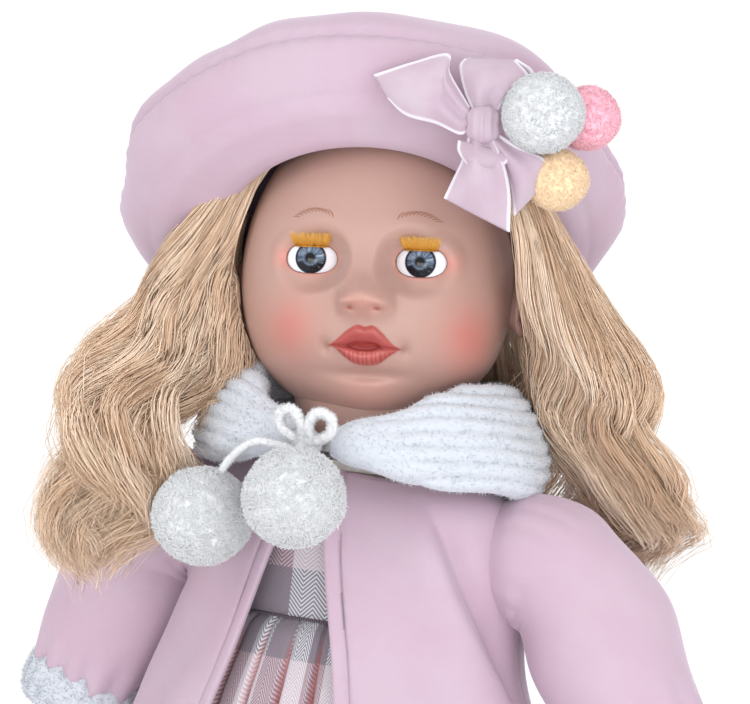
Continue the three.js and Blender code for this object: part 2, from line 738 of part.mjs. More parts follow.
// ---------------------------------------------------------------- plush collar and its tie
// Each half runs from the knot round to the centre back, leaning outwards on the shoulders.
function collarHalf() {
  const rings = [];
  const steps = 8;
  for (let i = 0; i <= steps; i++) {
    const share = i / steps;
    const a = rad(-83 + 172.4 * share);
    const full = Math.min(1, 0.32 + 2.1 * share);
    const radius = 51 - 1.4 * share;
    const long = 19.2 * full;
    const thick = 7.6 * Math.min(1, 0.6 + 1.2 * share);
    const out = V(Math.cos(a), Math.sin(a), 0);
    const centre = out.clone().multiplyScalar(radius).setZ(333 + 6.4 * Math.min(1, share * 2.6));
    const down = out.clone().multiplyScalar(0.43).setZ(-0.9).normalize();
    const normal = out.clone().multiplyScalar(0.9).setZ(0.43).normalize();
    rings.push(
      Array.from({ length: 12 }, (_, j) => {
        const t = (2 * Math.PI * j) / 12;
        return centre
          .clone()
          .addScaledVector(down, long * Math.cos(t))
          .addScaledVector(normal, -thick * Math.sin(t));
      }),
    );
  }
  return skin(rings);
}
// The space that the head takes as it turns on the swivel, a little larger than the head.
const headSweep = [-60, -50, -40, -30, -20, -10, 0, 10, 20, 30].map((turn) => {
  headPose.updateMatrixWorld(true);
  return skin(eggRings(-0.8, 20, 16, true)).applyMatrix4(headParts.matrixWorld).rotateZ(rad(turn));
});
for (const [name, side] of SIDES) {
  add(`collar_${name}`, "plush", largest(cut(onSide(collarHalf(), side), ...headSweep)));
}

const knotPoint = (dx, dy, dz) => V(KNOT.x + dx, KNOT.y + dy, KNOT.z + dz);
function tieBow() {
  const loop = (side) =>
    tube(
      [
        knotPoint(side * 1, -1, 2),
        knotPoint(side * 1.4, -3.4, 6.6),
        knotPoint(side * 4.4, -4.4, 9.6),
        knotPoint(side * 8, -3.6, 8),
        knotPoint(side * 7.6, -2, 4),
        knotPoint(side * 2.4, -1, 0.4),
      ],
      CORD_R,
      10,
    );
  return join(ball(KNOT.r, knotPoint(0, 0, 0), 10), loop(1), loop(-1));
}
add("tie_bow", "plush", tieBow());
const POMPOMS = {
  left: V(7, -80, 315),
  right: V(-31.8, -64, 304),
};
const TAILS = {
  left: [
    knotPoint(0.4, -4.4, -0.8),
    knotPoint(1.4, -8, -2),
    knotPoint(3, -12, -5.6),
    knotPoint(4.4, -15, -9.4),
  ],
  right: [
    knotPoint(-3.8, -2.6, -2.4),
    knotPoint(-9.6, -4.6, -1.4),
    knotPoint(-16.4, -6, -1.6),
    knotPoint(-22.4, -7, -6.6),
    knotPoint(-26.2, -7.4, -12.6),
    knotPoint(-28.4, -7, -18),
  ],
};
for (const [name] of SIDES) {
  const cord = tube(TAILS[name], CORD_R, name === "left" ? 4 : 12);
  const knotSpace = ball(KNOT.r + GAP, knotPoint(0, 0, 0), 10);
  const fluffSpace = ball(POMPOM_R + GAP, POMPOMS[name], 14);
  add(`tie_tail_${name}`, "plush", largest(cut(cord, fluffSpace, knotSpace)));
  add(`pompom_${name}`, "plush", ball(POMPOM_R, POMPOMS[name], 14));
}

// ---------------------------------------------------------------- hair
// Long locks in front of the doll's right shoulder, behind its left one, and down the back.
const HAIR_TURN = 6; // degrees, with the head
const HAIR_ROWS = {
  // z, half width, half depth, centre x, centre y
  right: [
    [284, 12, 7, -76, -58],
    [294, 22, 11, -76, -56],
    [310, 27, 15, -78, -50],
    [330, 29, 20, -80, -38],
    [350, 27, 24, -78, -22],
    [372, 21, 22, -72, -8],
    [392, 15, 16, -66, -2],
    [412, 9, 10, -58, -10],
  ],
  left: [
    [284, 12, 7, 82, 52],
    [296, 21, 12, 84, 50],
    [314, 24, 16, 82, 46],
    [332, 25, 20, 80, 36],
    [350, 24, 24, 77, 22],
    [372, 21, 24, 71, 12],
    [392, 14, 18, 65, 2],
    [410, 8, 10, 57, -8],
  ],
  back: [
    [272, 40, 5, 0, 68],
    [284, 62, 8, 0, 68],
    [310, 66, 9, 0, 69],
    [334, 60, 9, 0, 69],
    [350, 48, 7, 0, 67],
    [360, 34, 5, 0, 65],
  ],
};
function hair(rows) {
  const inPose = (geometry) => {
    headPose.updateMatrixWorld(true);
    return geometry.applyMatrix4(headParts.matrixWorld);
  };
  const skull = inPose(skin(eggRings(-6, 16, 12, true)));
  const ears = SIDES.map(([, side]) => inPose(pad(V(side * 48, 8, EYE_LEVEL - 12), 6.5, 10, 13)));
  const hatSpace = inPose(box(-120, 120, -120, 120, -4, 120).applyMatrix4(hat));
  const neckSpace = rod(61.5, V(0, 0, 250), V(0, 0, 362), 28);
  const fluff = Object.values(POMPOMS).map((at) => ball(POMPOM_R + 2, at, 12));
  const locks = stack(rows, 16).rotateZ(rad(HAIR_TURN));
  return largest(cut(locks, skull, ...ears, hatSpace, neckSpace, ...fluff));
}
for (const [name, rows] of Object.entries(HAIR_ROWS)) add(`hair_${name}`, "hair", hair(rows));

// ---------------------------------------------------------------- the part's own frame
// The origin is on the floor in the middle of the doll's box, measured without the hanging tie.
doll.updateMatrixWorld(true);
const HANGING = ["tie_tail_left", "tie_tail_right", "pompom_left", "pompom_right"];
const bounds = new THREE.Box3();
doll.traverse((piece) => {
  if (piece.isMesh && !HANGING.includes(piece.name)) bounds.expandByObject(piece, true);
});
doll.position.set(-(bounds.min.x + bounds.max.x) / 2, -(bounds.min.y + bounds.max.y) / 2, -bounds.min.z);
doll.updateMatrixWorld(true);

// Joint places and axes in the part's frame, for whoever drives the doll.
const place = (group, p) => group.localToWorld(p.clone()).toArray();
const heading = (group, d) => d.clone().transformDirection(group.matrixWorld).toArray();
doll.userData.joints = {
  head_turn: { at: place(doll, V(0, 0, NECK_Z)), axis: [0, 0, 1] },
  left_eye_close: { at: place(headParts, V(EYE.x, EYE.y, EYE.z)), axis: heading(headParts, V(1, 0, 0)) },
  right_eye_close: { at: place(headParts, V(-EYE.x, EYE.y, EYE.z)), axis: heading(headParts, V(1, 0, 0)) },
  left_arm_swing: { at: place(doll, V(SHOULDER.x, 0, SHOULDER.z)), axis: [-1, 0, 0] },
  right_arm_swing: { at: place(doll, V(-SHOULDER.x, 0, SHOULDER.z)), axis: [-1, 0, 0] },
  left_leg_swing: { at: place(doll, V(HIP.x, 0, HIP.z)), axis: [-1, 0, 0] },
  right_leg_swing: { at: place(doll, V(-HIP.x, 0, HIP.z)), axis: [-1, 0, 0] },
  tie_swing: { at: place(doll, V(KNOT.x, KNOT.y, KNOT.z)), axis: [-1, 0, 0] },
  voice_button_press: { axis: [0, 1, 0] },
  power_switch_slide: { axis: [1, 0, 0] },
};
doll.userData.soles = SIDES.map(([, side]) => place(doll, V(side * HIP.x, -12, 0)));

export default doll;
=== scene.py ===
"""Looks of a 46 cm talking toddler doll in winter clothes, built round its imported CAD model.

Shapes are drawn in millimetres in the doll's own axes (+Z up, the doll faces -Y, its left is +X), and
placed by in_doll() and in_head(), which read the doll's origin and its head's turn from the record's joints.
"""

import json
import math

import bpy
import numpy as np
from mathutils import Matrix, Vector
from mathutils.bvhtree import BVHTree


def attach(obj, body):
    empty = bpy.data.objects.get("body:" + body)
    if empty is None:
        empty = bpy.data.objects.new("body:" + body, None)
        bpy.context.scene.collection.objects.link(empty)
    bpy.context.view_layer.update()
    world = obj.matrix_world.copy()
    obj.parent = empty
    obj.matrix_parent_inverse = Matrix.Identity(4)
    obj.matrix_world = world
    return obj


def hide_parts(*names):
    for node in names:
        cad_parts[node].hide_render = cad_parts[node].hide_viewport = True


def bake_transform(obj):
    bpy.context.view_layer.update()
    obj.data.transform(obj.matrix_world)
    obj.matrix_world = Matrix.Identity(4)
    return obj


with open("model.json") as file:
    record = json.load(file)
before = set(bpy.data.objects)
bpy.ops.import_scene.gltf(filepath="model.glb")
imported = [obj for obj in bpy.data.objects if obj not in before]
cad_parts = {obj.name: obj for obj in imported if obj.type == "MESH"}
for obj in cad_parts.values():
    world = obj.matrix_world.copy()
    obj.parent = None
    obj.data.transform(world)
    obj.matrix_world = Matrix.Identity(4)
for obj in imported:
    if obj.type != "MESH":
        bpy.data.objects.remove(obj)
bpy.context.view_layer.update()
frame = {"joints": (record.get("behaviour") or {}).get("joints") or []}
rng = np.random.default_rng(46)

MM = 0.001
SIDES = (("left", 1), ("right", -1))


# ---------------------------------------------------------------- places from the record
def joint(name):
    return next(j for j in frame["joints"] if j["name"] == name)


def joint_point(name):
    return np.array(joint(name)["pos_m"]) / MM


NECK = joint_point("head_turn")  # the swivel, in the row frame, mm
NECK_Z = NECK[2]
ORIGIN = np.array([NECK[0], NECK[1], 0.0])
eye_axis = np.array(joint("left_eye_close")["axis"])
HEAD_TURN = math.atan2(eye_axis[1], eye_axis[0])
HEAD_TILT = -math.asin(eye_axis[2])
HEAD_AXES = np.array((Matrix.Rotation(HEAD_TURN, 3, "Z") @ Matrix.Rotation(HEAD_TILT, 3, "Y")))
PIVOT = np.array([0.0, 0.0, NECK_Z])


def in_doll(points):
    return np.asarray(points, float) + ORIGIN


def in_head(points):
    return (np.asarray(points, float) - PIVOT) @ HEAD_AXES.T + PIVOT + ORIGIN


def out_of_head(points):
    return (np.asarray(points, float) - ORIGIN - PIVOT) @ HEAD_AXES + PIVOT


EYE = (out_of_head(joint_point("left_eye_close")) - out_of_head(joint_point("right_eye_close"))) / 2
EYE = np.array([EYE[0], *out_of_head(joint_point("left_eye_close"))[1:]])
EYE_LEVEL = EYE[2] + 0.5


# ---------------------------------------------------------------- camera, light and floor
def make_camera():
    azimuth, roll = math.radians(22), math.radians(6.5)
    side = Vector((math.cos(azimuth), math.sin(azimuth), 0))
    back = Vector((math.sin(azimuth), -math.cos(azimuth), 0))
    up = Vector((0, 0, 1))
    across = side * math.cos(roll) + up * math.sin(roll)
    above = up * math.cos(roll) - side * math.sin(roll)
    between_irises = Vector(in_head([0, EYE[1] - 10, EYE[2]]) * MM)
    aim = between_irises + across * 0.0033 - above * 0.0307
    camera = bpy.data.objects.new("Camera", bpy.data.cameras.new("Camera"))
    camera.data.lens = 144
    camera.data.sensor_width = 36
    camera.matrix_world = Matrix(
        (
            (across.x, above.x, back.x, aim.x + back.x),
            (across.y, above.y, back.y, aim.y + back.y),
            (across.z, above.z, back.z, aim.z + back.z),
            (0, 0, 0, 1),
        )
    )
    bpy.context.scene.collection.objects.link(camera)
    bpy.context.scene.camera = camera


WORLD_LIGHT = 1.06
LIGHTS = {
    # place in metres, size in metres, power in watts, colour
    "KeyLight": ((-0.75, -1.35, 1.05), (0.7, 0.9), 3, (1, 0.985, 0.96)),
    "FillLight": ((1.35, -1.1, 0.7), (0.8, 1.0), 5.5, (0.97, 0.985, 1)),
    "LowLight": ((0.45, -1.3, 0.12), (1.2, 0.5), 8.5, (1, 0.99, 0.98)),
    "BackLight": ((0.3, 1.5, 1.2), (1.0, 0.8), 2, (1, 1, 1)),
}


def area_light(name, place, target, size, power, colour):
    light = bpy.data.lights.new(name, "AREA")
    light.shape = "RECTANGLE"
    light.size, light.size_y = size
    light.energy = power
    light.color = colour
    lamp = bpy.data.objects.new(name, light)
    lamp.location = place
    lamp.rotation_euler = (Vector(target) - Vector(place)).to_track_quat("-Z", "Y").to_euler()
    bpy.context.scene.collection.objects.link(lamp)


def make_studio():
    scene = bpy.context.scene
    scene.view_settings.view_transform = "Standard"
    world = bpy.data.worlds.new("Studio")
    world.use_nodes = True
    world.node_tree.nodes["Background"].inputs["Color"].default_value = (1, 1, 1, 1)
    world.node_tree.nodes["Background"].inputs["Strength"].default_value = WORLD_LIGHT
    scene.world = world
    for name, (place, size, power, colour) in LIGHTS.items():
        area_light(name, place, (0, 0, 0.36), size, power, colour)


# ---------------------------------------------------------------- numbers
def smooth(value, low, high):
    t = np.clip((value - low) / (high - low), 0, 1)
    return t * t * (3 - 2 * t)


def hump(x, z, sx, sz):
    return np.exp(-x * x / (2 * sx * sx) - z * z / (2 * sz * sz))


def bell(value, width):
    """1 where the value is 0, falling away on both sides of it."""
    return np.exp(-((value / width) ** 2))


def circle(count):
    return np.linspace(0, 2 * math.pi, count, endpoint=False)


def unit(vectors):
    length = np.linalg.norm(vectors, axis=-1, keepdims=True)
    return vectors / np.maximum(length, 1e-9)


def smooth_rows(rows, heights):
    """Rows whose first number is the height, read between the rows along smooth curves."""
    rows = np.asarray(rows, float)
    rows = rows[np.argsort(rows[:, 0])]
    at, values = rows[:, 0], rows[:, 1:]
    step = np.diff(at)[:, None]
    slope = np.diff(values, axis=0) / step
    tangent = np.vstack([slope[:1], (slope[1:] + slope[:-1]) / 2, slope[-1:]])
    i = np.clip(np.searchsorted(at, heights, "right") - 1, 0, len(at) - 2)
    h = (at[i + 1] - at[i])[..., None]
    t = np.clip((heights - at[i])[..., None] / h, 0, 1)
    return (
        (2 * t**3 - 3 * t**2 + 1) * values[i]
        + (t**3 - 2 * t**2 + t) * h * tangent[i]
        + (3 * t**2 - 2 * t**3) * values[i + 1]
        + (t**3 - t**2) * h * tangent[i + 1]
    )


def along(points, count):
    """A smooth curve through the points, in count even steps."""
    points = np.asarray(points, float)
    rows = np.column_stack([np.arange(len(points)), points])
    fine = smooth_rows(rows, np.linspace(0, len(points) - 1, 24 * len(points)))
    run = np.concatenate([[0], np.cumsum(np.linalg.norm(np.diff(fine, axis=0), axis=1))])
    want = np.linspace(0, run[-1], count)
    return np.column_stack([np.interp(want, run, fine[:, k]) for k in range(fine.shape[1])])


# ---------------------------------------------------------------- meshes
def grid_faces(rows, columns, wrap=False, flip=False):
    i, j = np.meshgrid(np.arange(rows - 1), np.arange(columns if wrap else columns - 1), indexing="ij")
    k = (j + 1) % columns
    quads = np.stack([i * columns + j, i * columns + k, (i + 1) * columns + k, (i + 1) * columns + j], -1)
    quads = quads.reshape(-1, 4)
    return quads[:, ::-1] if flip else quads


def piece(name, points, faces, material, smooth_shaded=True, uv=None, values=None, colours=None):
    """A mesh object from row-frame points in mm; faces is an array, or a list of them, of equal-sided faces."""
    faces = faces if isinstance(faces, (list, tuple)) else [faces]
    points = np.asarray(points, float).reshape(-1, 3) * MM
    mesh = bpy.data.meshes.new(name)
    corners = np.concatenate([np.asarray(f).ravel() for f in faces]).astype(np.int32)
    sides = np.concatenate([np.full(len(f), np.asarray(f).shape[1]) for f in faces]).astype(np.int32)
    mesh.vertices.add(len(points))
    mesh.vertices.foreach_set("co", points.astype(np.float32).ravel())
    mesh.loops.add(len(corners))
    mesh.loops.foreach_set("vertex_index", corners)
    mesh.polygons.add(len(sides))
    mesh.polygons.foreach_set("loop_start", np.concatenate([[0], np.cumsum(sides)[:-1]]).astype(np.int32))
    mesh.polygons.foreach_set("use_smooth", np.full(len(sides), smooth_shaded))
    mesh.update(calc_edges=True)
    mesh.validate()
    if uv is not None:
        uv = np.asarray(uv, float).reshape(-1, 2)
        layer = mesh.uv_layers.new(name="UVMap")
        uv = uv if len(uv) == len(corners) else uv[corners]
        layer.data.foreach_set("uv", uv.astype(np.float32).ravel())
    for key, value in (values or {}).items():
        attribute = mesh.attributes.new(key, "FLOAT", "POINT")
        attribute.data.foreach_set("value", np.asarray(value, np.float32).ravel())
    for key, value in (colours or {}).items():
        attribute = mesh.color_attributes.new(key, "FLOAT_COLOR", "POINT")
        rgba = np.column_stack([np.asarray(value, float).reshape(-1, 3), np.ones(len(points))])
        attribute.data.foreach_set("color", rgba.astype(np.float32).ravel())
    mesh.materials.append(material)
    made = bpy.data.objects.new(name, mesh)
    bpy.context.scene.collection.objects.link(made)
    return made


def dress(made, body, slot, *nodes):
    """Lets a piece ride on a CAD body and stand for CAD nodes; its slot is not used."""
    if body:
        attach(made, body)
    if nodes:
        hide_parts(*nodes)
    return made


def put(name, points, faces, finish, body, slot, *nodes, placed=in_doll, **data):
    """A piece made, placed and dressed at once."""
    return dress(piece(name, placed(points), faces, finish, **data), body, slot, *nodes)


def merged(*bodies):
    """Several closed bodies as one list of points and one of faces."""
    points, faces, shift = [], [], 0
    for some_points, some_faces, *_ in bodies:
        points.append(some_points)
        faces += [part + shift for part in some_faces]
        shift += len(some_points)
    return np.vstack(points), faces


def loft(rings, cap_low=True, cap_high=True):
    """Points, faces and corner UVs (mm round, mm along) of rings joined into a tube: rows x columns x 3."""
    rings = np.asarray(rings, float)
    rows, columns = rings.shape[:2]
    points = rings.reshape(-1, 3)
    quads = grid_faces(rows, columns, wrap=True)
    mean_ring = np.linalg.norm(np.diff(rings, axis=1, append=rings[:, :1]), axis=2).mean(0)
    around = np.concatenate([[0], np.cumsum(mean_ring)])
    spine = rings.mean(1)
    length = np.concatenate([[0], np.cumsum(np.linalg.norm(np.diff(spine, axis=0), axis=1))])
    i, j = np.meshgrid(np.arange(rows - 1), np.arange(columns), indexing="ij")
    corner_rows = np.stack([i, i, i + 1, i + 1], -1).reshape(-1)
    corner_columns = np.stack([j, j + 1, j + 1, j], -1).reshape(-1)
    uv = [np.column_stack([around[corner_columns], length[corner_rows]])]
    faces = [quads]
    ring = np.arange(columns)
    for wanted, first, flip in ((cap_low, 0, True), (cap_high, (rows - 1) * columns, False)):
        if wanted:
            points = np.vstack([points, points[first : first + columns].mean(0)])
            centre = np.full(columns, len(points) - 1)
            pair = [first + ring, first + (ring + 1) % columns]
            faces.append(np.column_stack([*(pair[::-1] if flip else pair), centre]))
            uv.append(np.zeros((columns * 3, 2)))
    return points, faces, np.vstack(uv)


def tube(path, radii, sides=10, flat=1.0, up=(0, 0, 1)):
    """Rings round a path; flat squeezes them along their second axis."""
    path = np.asarray(path, float)
    radii = np.broadcast_to(np.asarray(radii, float), len(path))
    tangent = unit(np.gradient(path, axis=0))
    first = unit(np.cross(tangent, np.asarray(up, float)) + 1e-6)
    for i in range(1, len(path)):
        turned = first[i - 1] - tangent[i] * (first[i - 1] @ tangent[i])
        first[i] = turned / np.linalg.norm(turned)
    second = np.cross(tangent, first)
    angle = circle(sides)
    return (
        path[:, None]
        + radii[:, None, None] * np.cos(angle)[None, :, None] * first[:, None]
        + flat * radii[:, None, None] * np.sin(angle)[None, :, None] * second[:, None]
    )


def strands(paths, radii):
    """Three-sided tubes along many paths at once: points and faces. paths is strands x steps x 3."""
    count, steps = paths.shape[:2]
    tangent = unit(np.gradient(paths, axis=1))
    first = unit(np.cross(tangent, np.array([0.31, 0.17, 0.93])))
    second = np.cross(tangent, first)
    radii = np.broadcast_to(radii, (count, steps))[..., None]
    rings = np.stack(
        [
            paths + radii * (math.cos(a) * first + math.sin(a) * second)
            for a in (0, 2 * math.pi / 3, 4 * math.pi / 3)
        ],
        axis=2,
    )
    quads = grid_faces(steps, 3, wrap=True)
    offset = np.arange(count)[:, None, None] * steps * 3
    faces = (quads[None] + offset).reshape(-1, 4)
    root = np.arange(count)[:, None] * steps * 3 + np.array([2, 1, 0])[None]
    tip = np.arange(count)[:, None] * steps * 3 + (steps - 1) * 3 + np.array([0, 1, 2])[None]
    return rings.reshape(-1, 3), [faces, np.vstack([root, tip])]


def ball_rings(polar, around):
    """Directions over a ball at angles from its bottom and round it."""
    across = np.sin(polar)
    return np.stack([across * np.cos(around), across * np.sin(around), -np.cos(polar) + 0 * around], -1)


def on_sphere(count):
    """Directions spread evenly over a sphere."""
    i = np.arange(count) + 0.5
    z = 1 - 2 * i / count
    turn = i * math.pi * (3 - math.sqrt(5))
    flat = np.sqrt(1 - z * z)
    return np.column_stack([flat * np.cos(turn), flat * np.sin(turn), z])


def ripple(points, size, seed=0):
    """A smooth wandering value from about -1 to 1 at each point; size is how far apart its hills lie, mm."""
    dice = np.random.default_rng(seed)
    total = np.zeros(np.asarray(points).shape[:-1])
    for _ in range(6):
        direction = unit(dice.normal(size=3))
        waves = points @ direction * (2 * math.pi / size) * dice.uniform(0.7, 1.4)
        total += np.sin(waves + dice.uniform(0, 7))
    return total / 3


# ---------------------------------------------------------------- material nodes
def rgb(red, green, blue):
    """A linear colour from 0-255 screen numbers."""
    scaled = [c / 255 for c in (red, green, blue)]
    return tuple(c / 12.92 if c <= 0.04045 else ((c + 0.055) / 1.055) ** 2.4 for c in scaled)


class Finish:
    """A node material: methods add nodes and return their output sockets."""

    def __init__(self, name, **sockets):
        self.material = bpy.data.materials.new(name)
        self.material.use_nodes = True
        self.nodes = self.material.node_tree.nodes
        self.links = self.material.node_tree.links
        self.shader = self.nodes["Principled BSDF"]
        for key, value in sockets.items():
            self.set(key.replace("_", " "), value)

    def set(self, socket, value):
        target = next(i for i in self.shader.inputs if i.name.lower() == socket.lower())
        self.join(target, value)
        return self

    def join(self, target, value):
        if isinstance(value, bpy.types.NodeSocket):
            self.links.new(value, target)
        elif target.type == "RGBA":
            target.default_value = (*value[:3], 1)
        else:
            target.default_value = value

    def add(self, kind, **settings):
        node = self.nodes.new(kind)
        for key, value in settings.items():
            setattr(node, key, value)
        return node

    def place(self, kind="Object"):
        return self.add("ShaderNodeTexCoord").outputs[kind]

    def value(self, name, output="Fac"):
        return self.add("ShaderNodeAttribute", attribute_name=name).outputs[output]

    def scaled(self, vector, factors):
        node = self.add("ShaderNodeVectorMath", operation="MULTIPLY")
        self.join(node.inputs[0], vector)
        node.inputs[1].default_value = factors
        return node.outputs[0]

    def parts(self, vector):
        node = self.add("ShaderNodeSeparateXYZ")
        self.join(node.inputs[0], vector)
        return node.outputs

    def place_mm(self):
        return self.scaled(self.place(), (1000, 1000, 1000))

    def math(self, operation, a, b=0.0):
        node = self.add("ShaderNodeMath", operation=operation)
        self.join(node.inputs[0], a)
        self.join(node.inputs[1], b)
        return node.outputs[0]

    def weigh(self, a, share_a, b, share_b):
        return self.math("ADD", self.math("MULTIPLY", a, share_a), self.math("MULTIPLY", b, share_b))

    def between(self, value, low, high, out_low=0.0, out_high=1.0):
        node = self.add("ShaderNodeMapRange", interpolation_type="SMOOTHSTEP")
        self.join(node.inputs["Value"], value)
        node.inputs["From Min"].default_value = low
        node.inputs["From Max"].default_value = high
        node.inputs["To Min"].default_value = out_low
        node.inputs["To Max"].default_value = out_high
        return node.outputs["Result"]

    def noise(self, vector, scale, detail=3.0, roughness=0.5):
        node = self.add("ShaderNodeTexNoise")
        self.join(node.inputs["Vector"], vector)
        node.inputs["Scale"].default_value = scale
        node.inputs["Detail"].default_value = detail
        node.inputs["Roughness"].default_value = roughness
        return node.outputs["Fac"]

    def cells(self, vector, scale):
        node = self.add("ShaderNodeTexVoronoi")
        self.join(node.inputs["Vector"], vector)
        node.inputs["Scale"].default_value = scale
        return node.outputs["Distance"]

    def ramp(self, factor, stops, interpolation="LINEAR"):
        node = self.add("ShaderNodeValToRGB")
        node.color_ramp.interpolation = interpolation
        elements = node.color_ramp.elements
        while len(elements) < len(stops):
            elements.new(0.5)
        for element, (position, colour) in zip(elements, stops):
            element.position = position
            element.color = (*colour, 1)
        self.join(node.inputs[0], factor)
        return node.outputs[0]

    def mix(self, factor, a, b, blend="MIX"):
        node = self.add("ShaderNodeMix", data_type="RGBA", blend_type=blend)
        self.join(node.inputs[0], factor)
        self.join(node.inputs[6], a)
        self.join(node.inputs[7], b)
        return node.outputs[2]

    def bump(self, height, distance_mm, strength=1.0):
        node = self.add("ShaderNodeBump")
        node.inputs["Strength"].default_value = strength
        node.inputs["Distance"].default_value = distance_mm * MM
        self.join(node.inputs["Height"], height)
        self.links.new(node.outputs[0], self.shader.inputs["Normal"])
        return self

    def thread(self, coordinate, pitch_mm, phase=0.0):
        """0 in the gap and 1 on the back of threads laid side by side; the coordinate is in mm."""
        turned = self.math("ADD", self.math("MULTIPLY", coordinate, 2 * math.pi / pitch_mm), phase)
        return self.between(self.math("COSINE", turned), -1, 1)


def make_floor():
    f = Finish("StudioFloor", roughness=0.8)
    f.set("Base Color", f.mix(f.noise(f.place(), 3, 2), rgb(236, 236, 238), rgb(242, 242, 243)))
    angle = circle(64)
    rings = [[(r * math.cos(a), r * math.sin(a), 0) for a in angle] for r in (1400, 700, 60)]
    points, faces, _ = loft(np.array(rings), cap_low=False)
    floor = piece("studio_floor", points, faces, f.material)


make_camera()
make_studio()
make_floor()


# ---------------------------------------------------------------- tie cord and its pompoms
def plush_finish(name, light, deep):
    """Fibres of yarn or pile: every strand a little different at random, with painted shade that darkens it
    towards its root.
    """
    f = Finish(name, roughness=0.9, sheen_weight=0.5, sheen_roughness=0.5, specular_ior_level=0.2)
    speck = f.noise(f.place(), 700, 2, 0.6)
    # painted shade: the tip value is low at the roots and under the pile and 1 at the tips; the specks are
    # random tone
    tone = f.weigh(f.value("tip"), 0.7, speck, 0.3)
    f.set("Base Color", f.mix(f.between(tone, 0.1, 0.8), deep, light))
    return f.bump(f.noise(f.place(), 2500, 2), 0.1, 0.5).material


# the deep colours serve the random specks and the painted shade at the roots of the pile
WHITE_PLUSH = plush_finish("WhitePlush", rgb(228, 230, 233), rgb(220, 222, 226))
COLLAR_PLUSH = plush_finish("CollarPlush", rgb(203, 208, 216), rgb(186, 192, 203))
ROSE_PLUSH = plush_finish("RosePlush", rgb(250, 190, 206), rgb(242, 164, 184))
BEIGE_PLUSH = plush_finish("BeigePlush", rgb(246, 218, 182), rgb(232, 196, 152))


def pompom(name, centre, radius, finish, tufts, per_tuft, placed, body, slot, thick, shag):
    """A pompom of cut yarn: a heart in soft clumps, and the fibre ends that stand out of it.

    It stands for the CAD node of its own name.
    """
    polar = np.linspace(0.03, math.pi - 0.03, 72)[:, None]
    around = circle(120)[None, :]
    ball = ball_rings(polar, around)
    clumps = 0.005 * ripple(ball, 0.42, 8) + 0.014 * ripple(ball, 1.1, 5)
    points, faces, _ = loft(ball * (radius * (0.95 + clumps))[..., None])
    # painted shade: the heart under the fibres gets a darker tip value
    tip = {"tip": np.full(len(points), 0.75)}
    heart = put(f"{name}_heart", points + centre, faces, finish, body, slot, name, placed=placed, values=tip)
    out = on_sphere(tufts)
    out = unit(out + rng.normal(0, 0.05, out.shape))
    heading = np.repeat(out, per_tuft, axis=0)
    root = unit(heading + rng.normal(0, 0.03, heading.shape)) * 0.9 * radius
    end = unit(heading + rng.normal(0, shag * 0.6, heading.shape)) * radius
    end *= (1 + 0.03 * ripple(heading, 1.1, 5) + rng.normal(0, 0.02, len(end)))[:, None]
    t = np.array([0, 0.55, 1])[None, :, None]
    bend = rng.normal(0, 0.02 * radius, heading.shape)[:, None] * np.sin(math.pi * t)
    paths = root[:, None] * (1 - t) + end[:, None] * t + bend
    points, faces = strands(paths, thick * np.array([1, 0.95, 0.6])[None])
    # painted shade: each fibre darker towards its root
    tip = {"tip": np.repeat(np.tile([0.6, 0.9, 1.0], len(paths)), 3)}
    fluff = put(f"{name}_fluff", points + centre, faces, finish, body, slot, placed=placed, values=tip)
    return heart, fluff


def fuzz(name, points, faces, count, length, finish, body, slot, thick):
    """Short pile standing on a surface of quads."""
    quads = faces[0]
    corners = points[quads]
    middle = corners.mean(1)
    normal = np.cross(corners[:, 2] - corners[:, 0], corners[:, 3] - corners[:, 1])
    area = np.linalg.norm(normal, axis=1)
    chosen = rng.choice(len(quads), count, p=area / area.sum())
    mix = rng.dirichlet((1, 1, 1, 1), count)
    root = (corners[chosen] * mix[..., None]).sum(1)
    root = root * 0.85 + middle[chosen] * 0.15
    heading = unit(unit(normal[chosen]) + rng.normal(0, 0.55, (count, 3)))
    reach = length * rng.uniform(0.6, 1.15, count)
    t = np.linspace(0, 1, 3)[None, :, None]
    curl = rng.normal(0, 0.12 * length, (count, 1, 3)) * t * t
    paths = root[:, None] - 0.15 * unit(normal[chosen])[:, None]
    paths = paths + heading[:, None] * t * reach[:, None, None] + curl
    points, faces = strands(paths, thick * np.array([1, 0.9, 0.5])[None])
    # painted shade: each fibre of the pile darker towards its root
    tip = {"tip": np.repeat(np.tile([0.45, 0.75, 1.0], count), 3)}
    return put(name, points, faces, finish, body, slot, values=tip)


TIE_KNOT = np.array([0.0, -58.0, 332.0])
CORD_R = 1.2
POMPOM_R = 16.5
POMPOMS = {"left": np.array([7.0, -80.0, 315.0]), "right": np.array([-31.8, -64.0, 304.0])}
TAILS = {
    # from the knot, and on through the heart of the pompom
    "left": [
        (0.4, -4.4, -0.8),
        (1.4, -8, -2),
        (3, -12, -5.6),
        (4.4, -15, -9.4),
        (7, -22, -17),
        (9.6, -26, -22.4),
    ],
    "right": [
        (-3.8, -2.6, -2.4),
        (-9.6, -4.6, -1.4),
        (-16.4, -6, -1.6),
        (-22.4, -7, -6.6),
        (-26.2, -7.4, -12.6),
        (-28.4, -7, -18),
        (-31.8, -6, -28),
    ],
}


def chenille(name, path, radius, body, hairs, *nodes):
    """A plush cord: a tube whose pile swells and sinks a little along it, and the pile's fibres."""
    run = np.arange(len(path))
    swell = 1 + 0.07 * np.sin(run * 2.1) + 0.05 * np.sin(run * 0.83)
    points, faces, uv = loft(tube(path, radius * swell, 14))
    # painted shade: the cord under its pile is set darker
    tip = {"tip": np.full(len(points), 0.7)}
    cord = put(name, points, faces, WHITE_PLUSH, body, "tie_cord", *nodes, uv=uv, values=tip)
    return cord, fuzz(f"{name}_pile", points, faces, hairs, 0.9, WHITE_PLUSH, body, "tie_cord", 0.09)


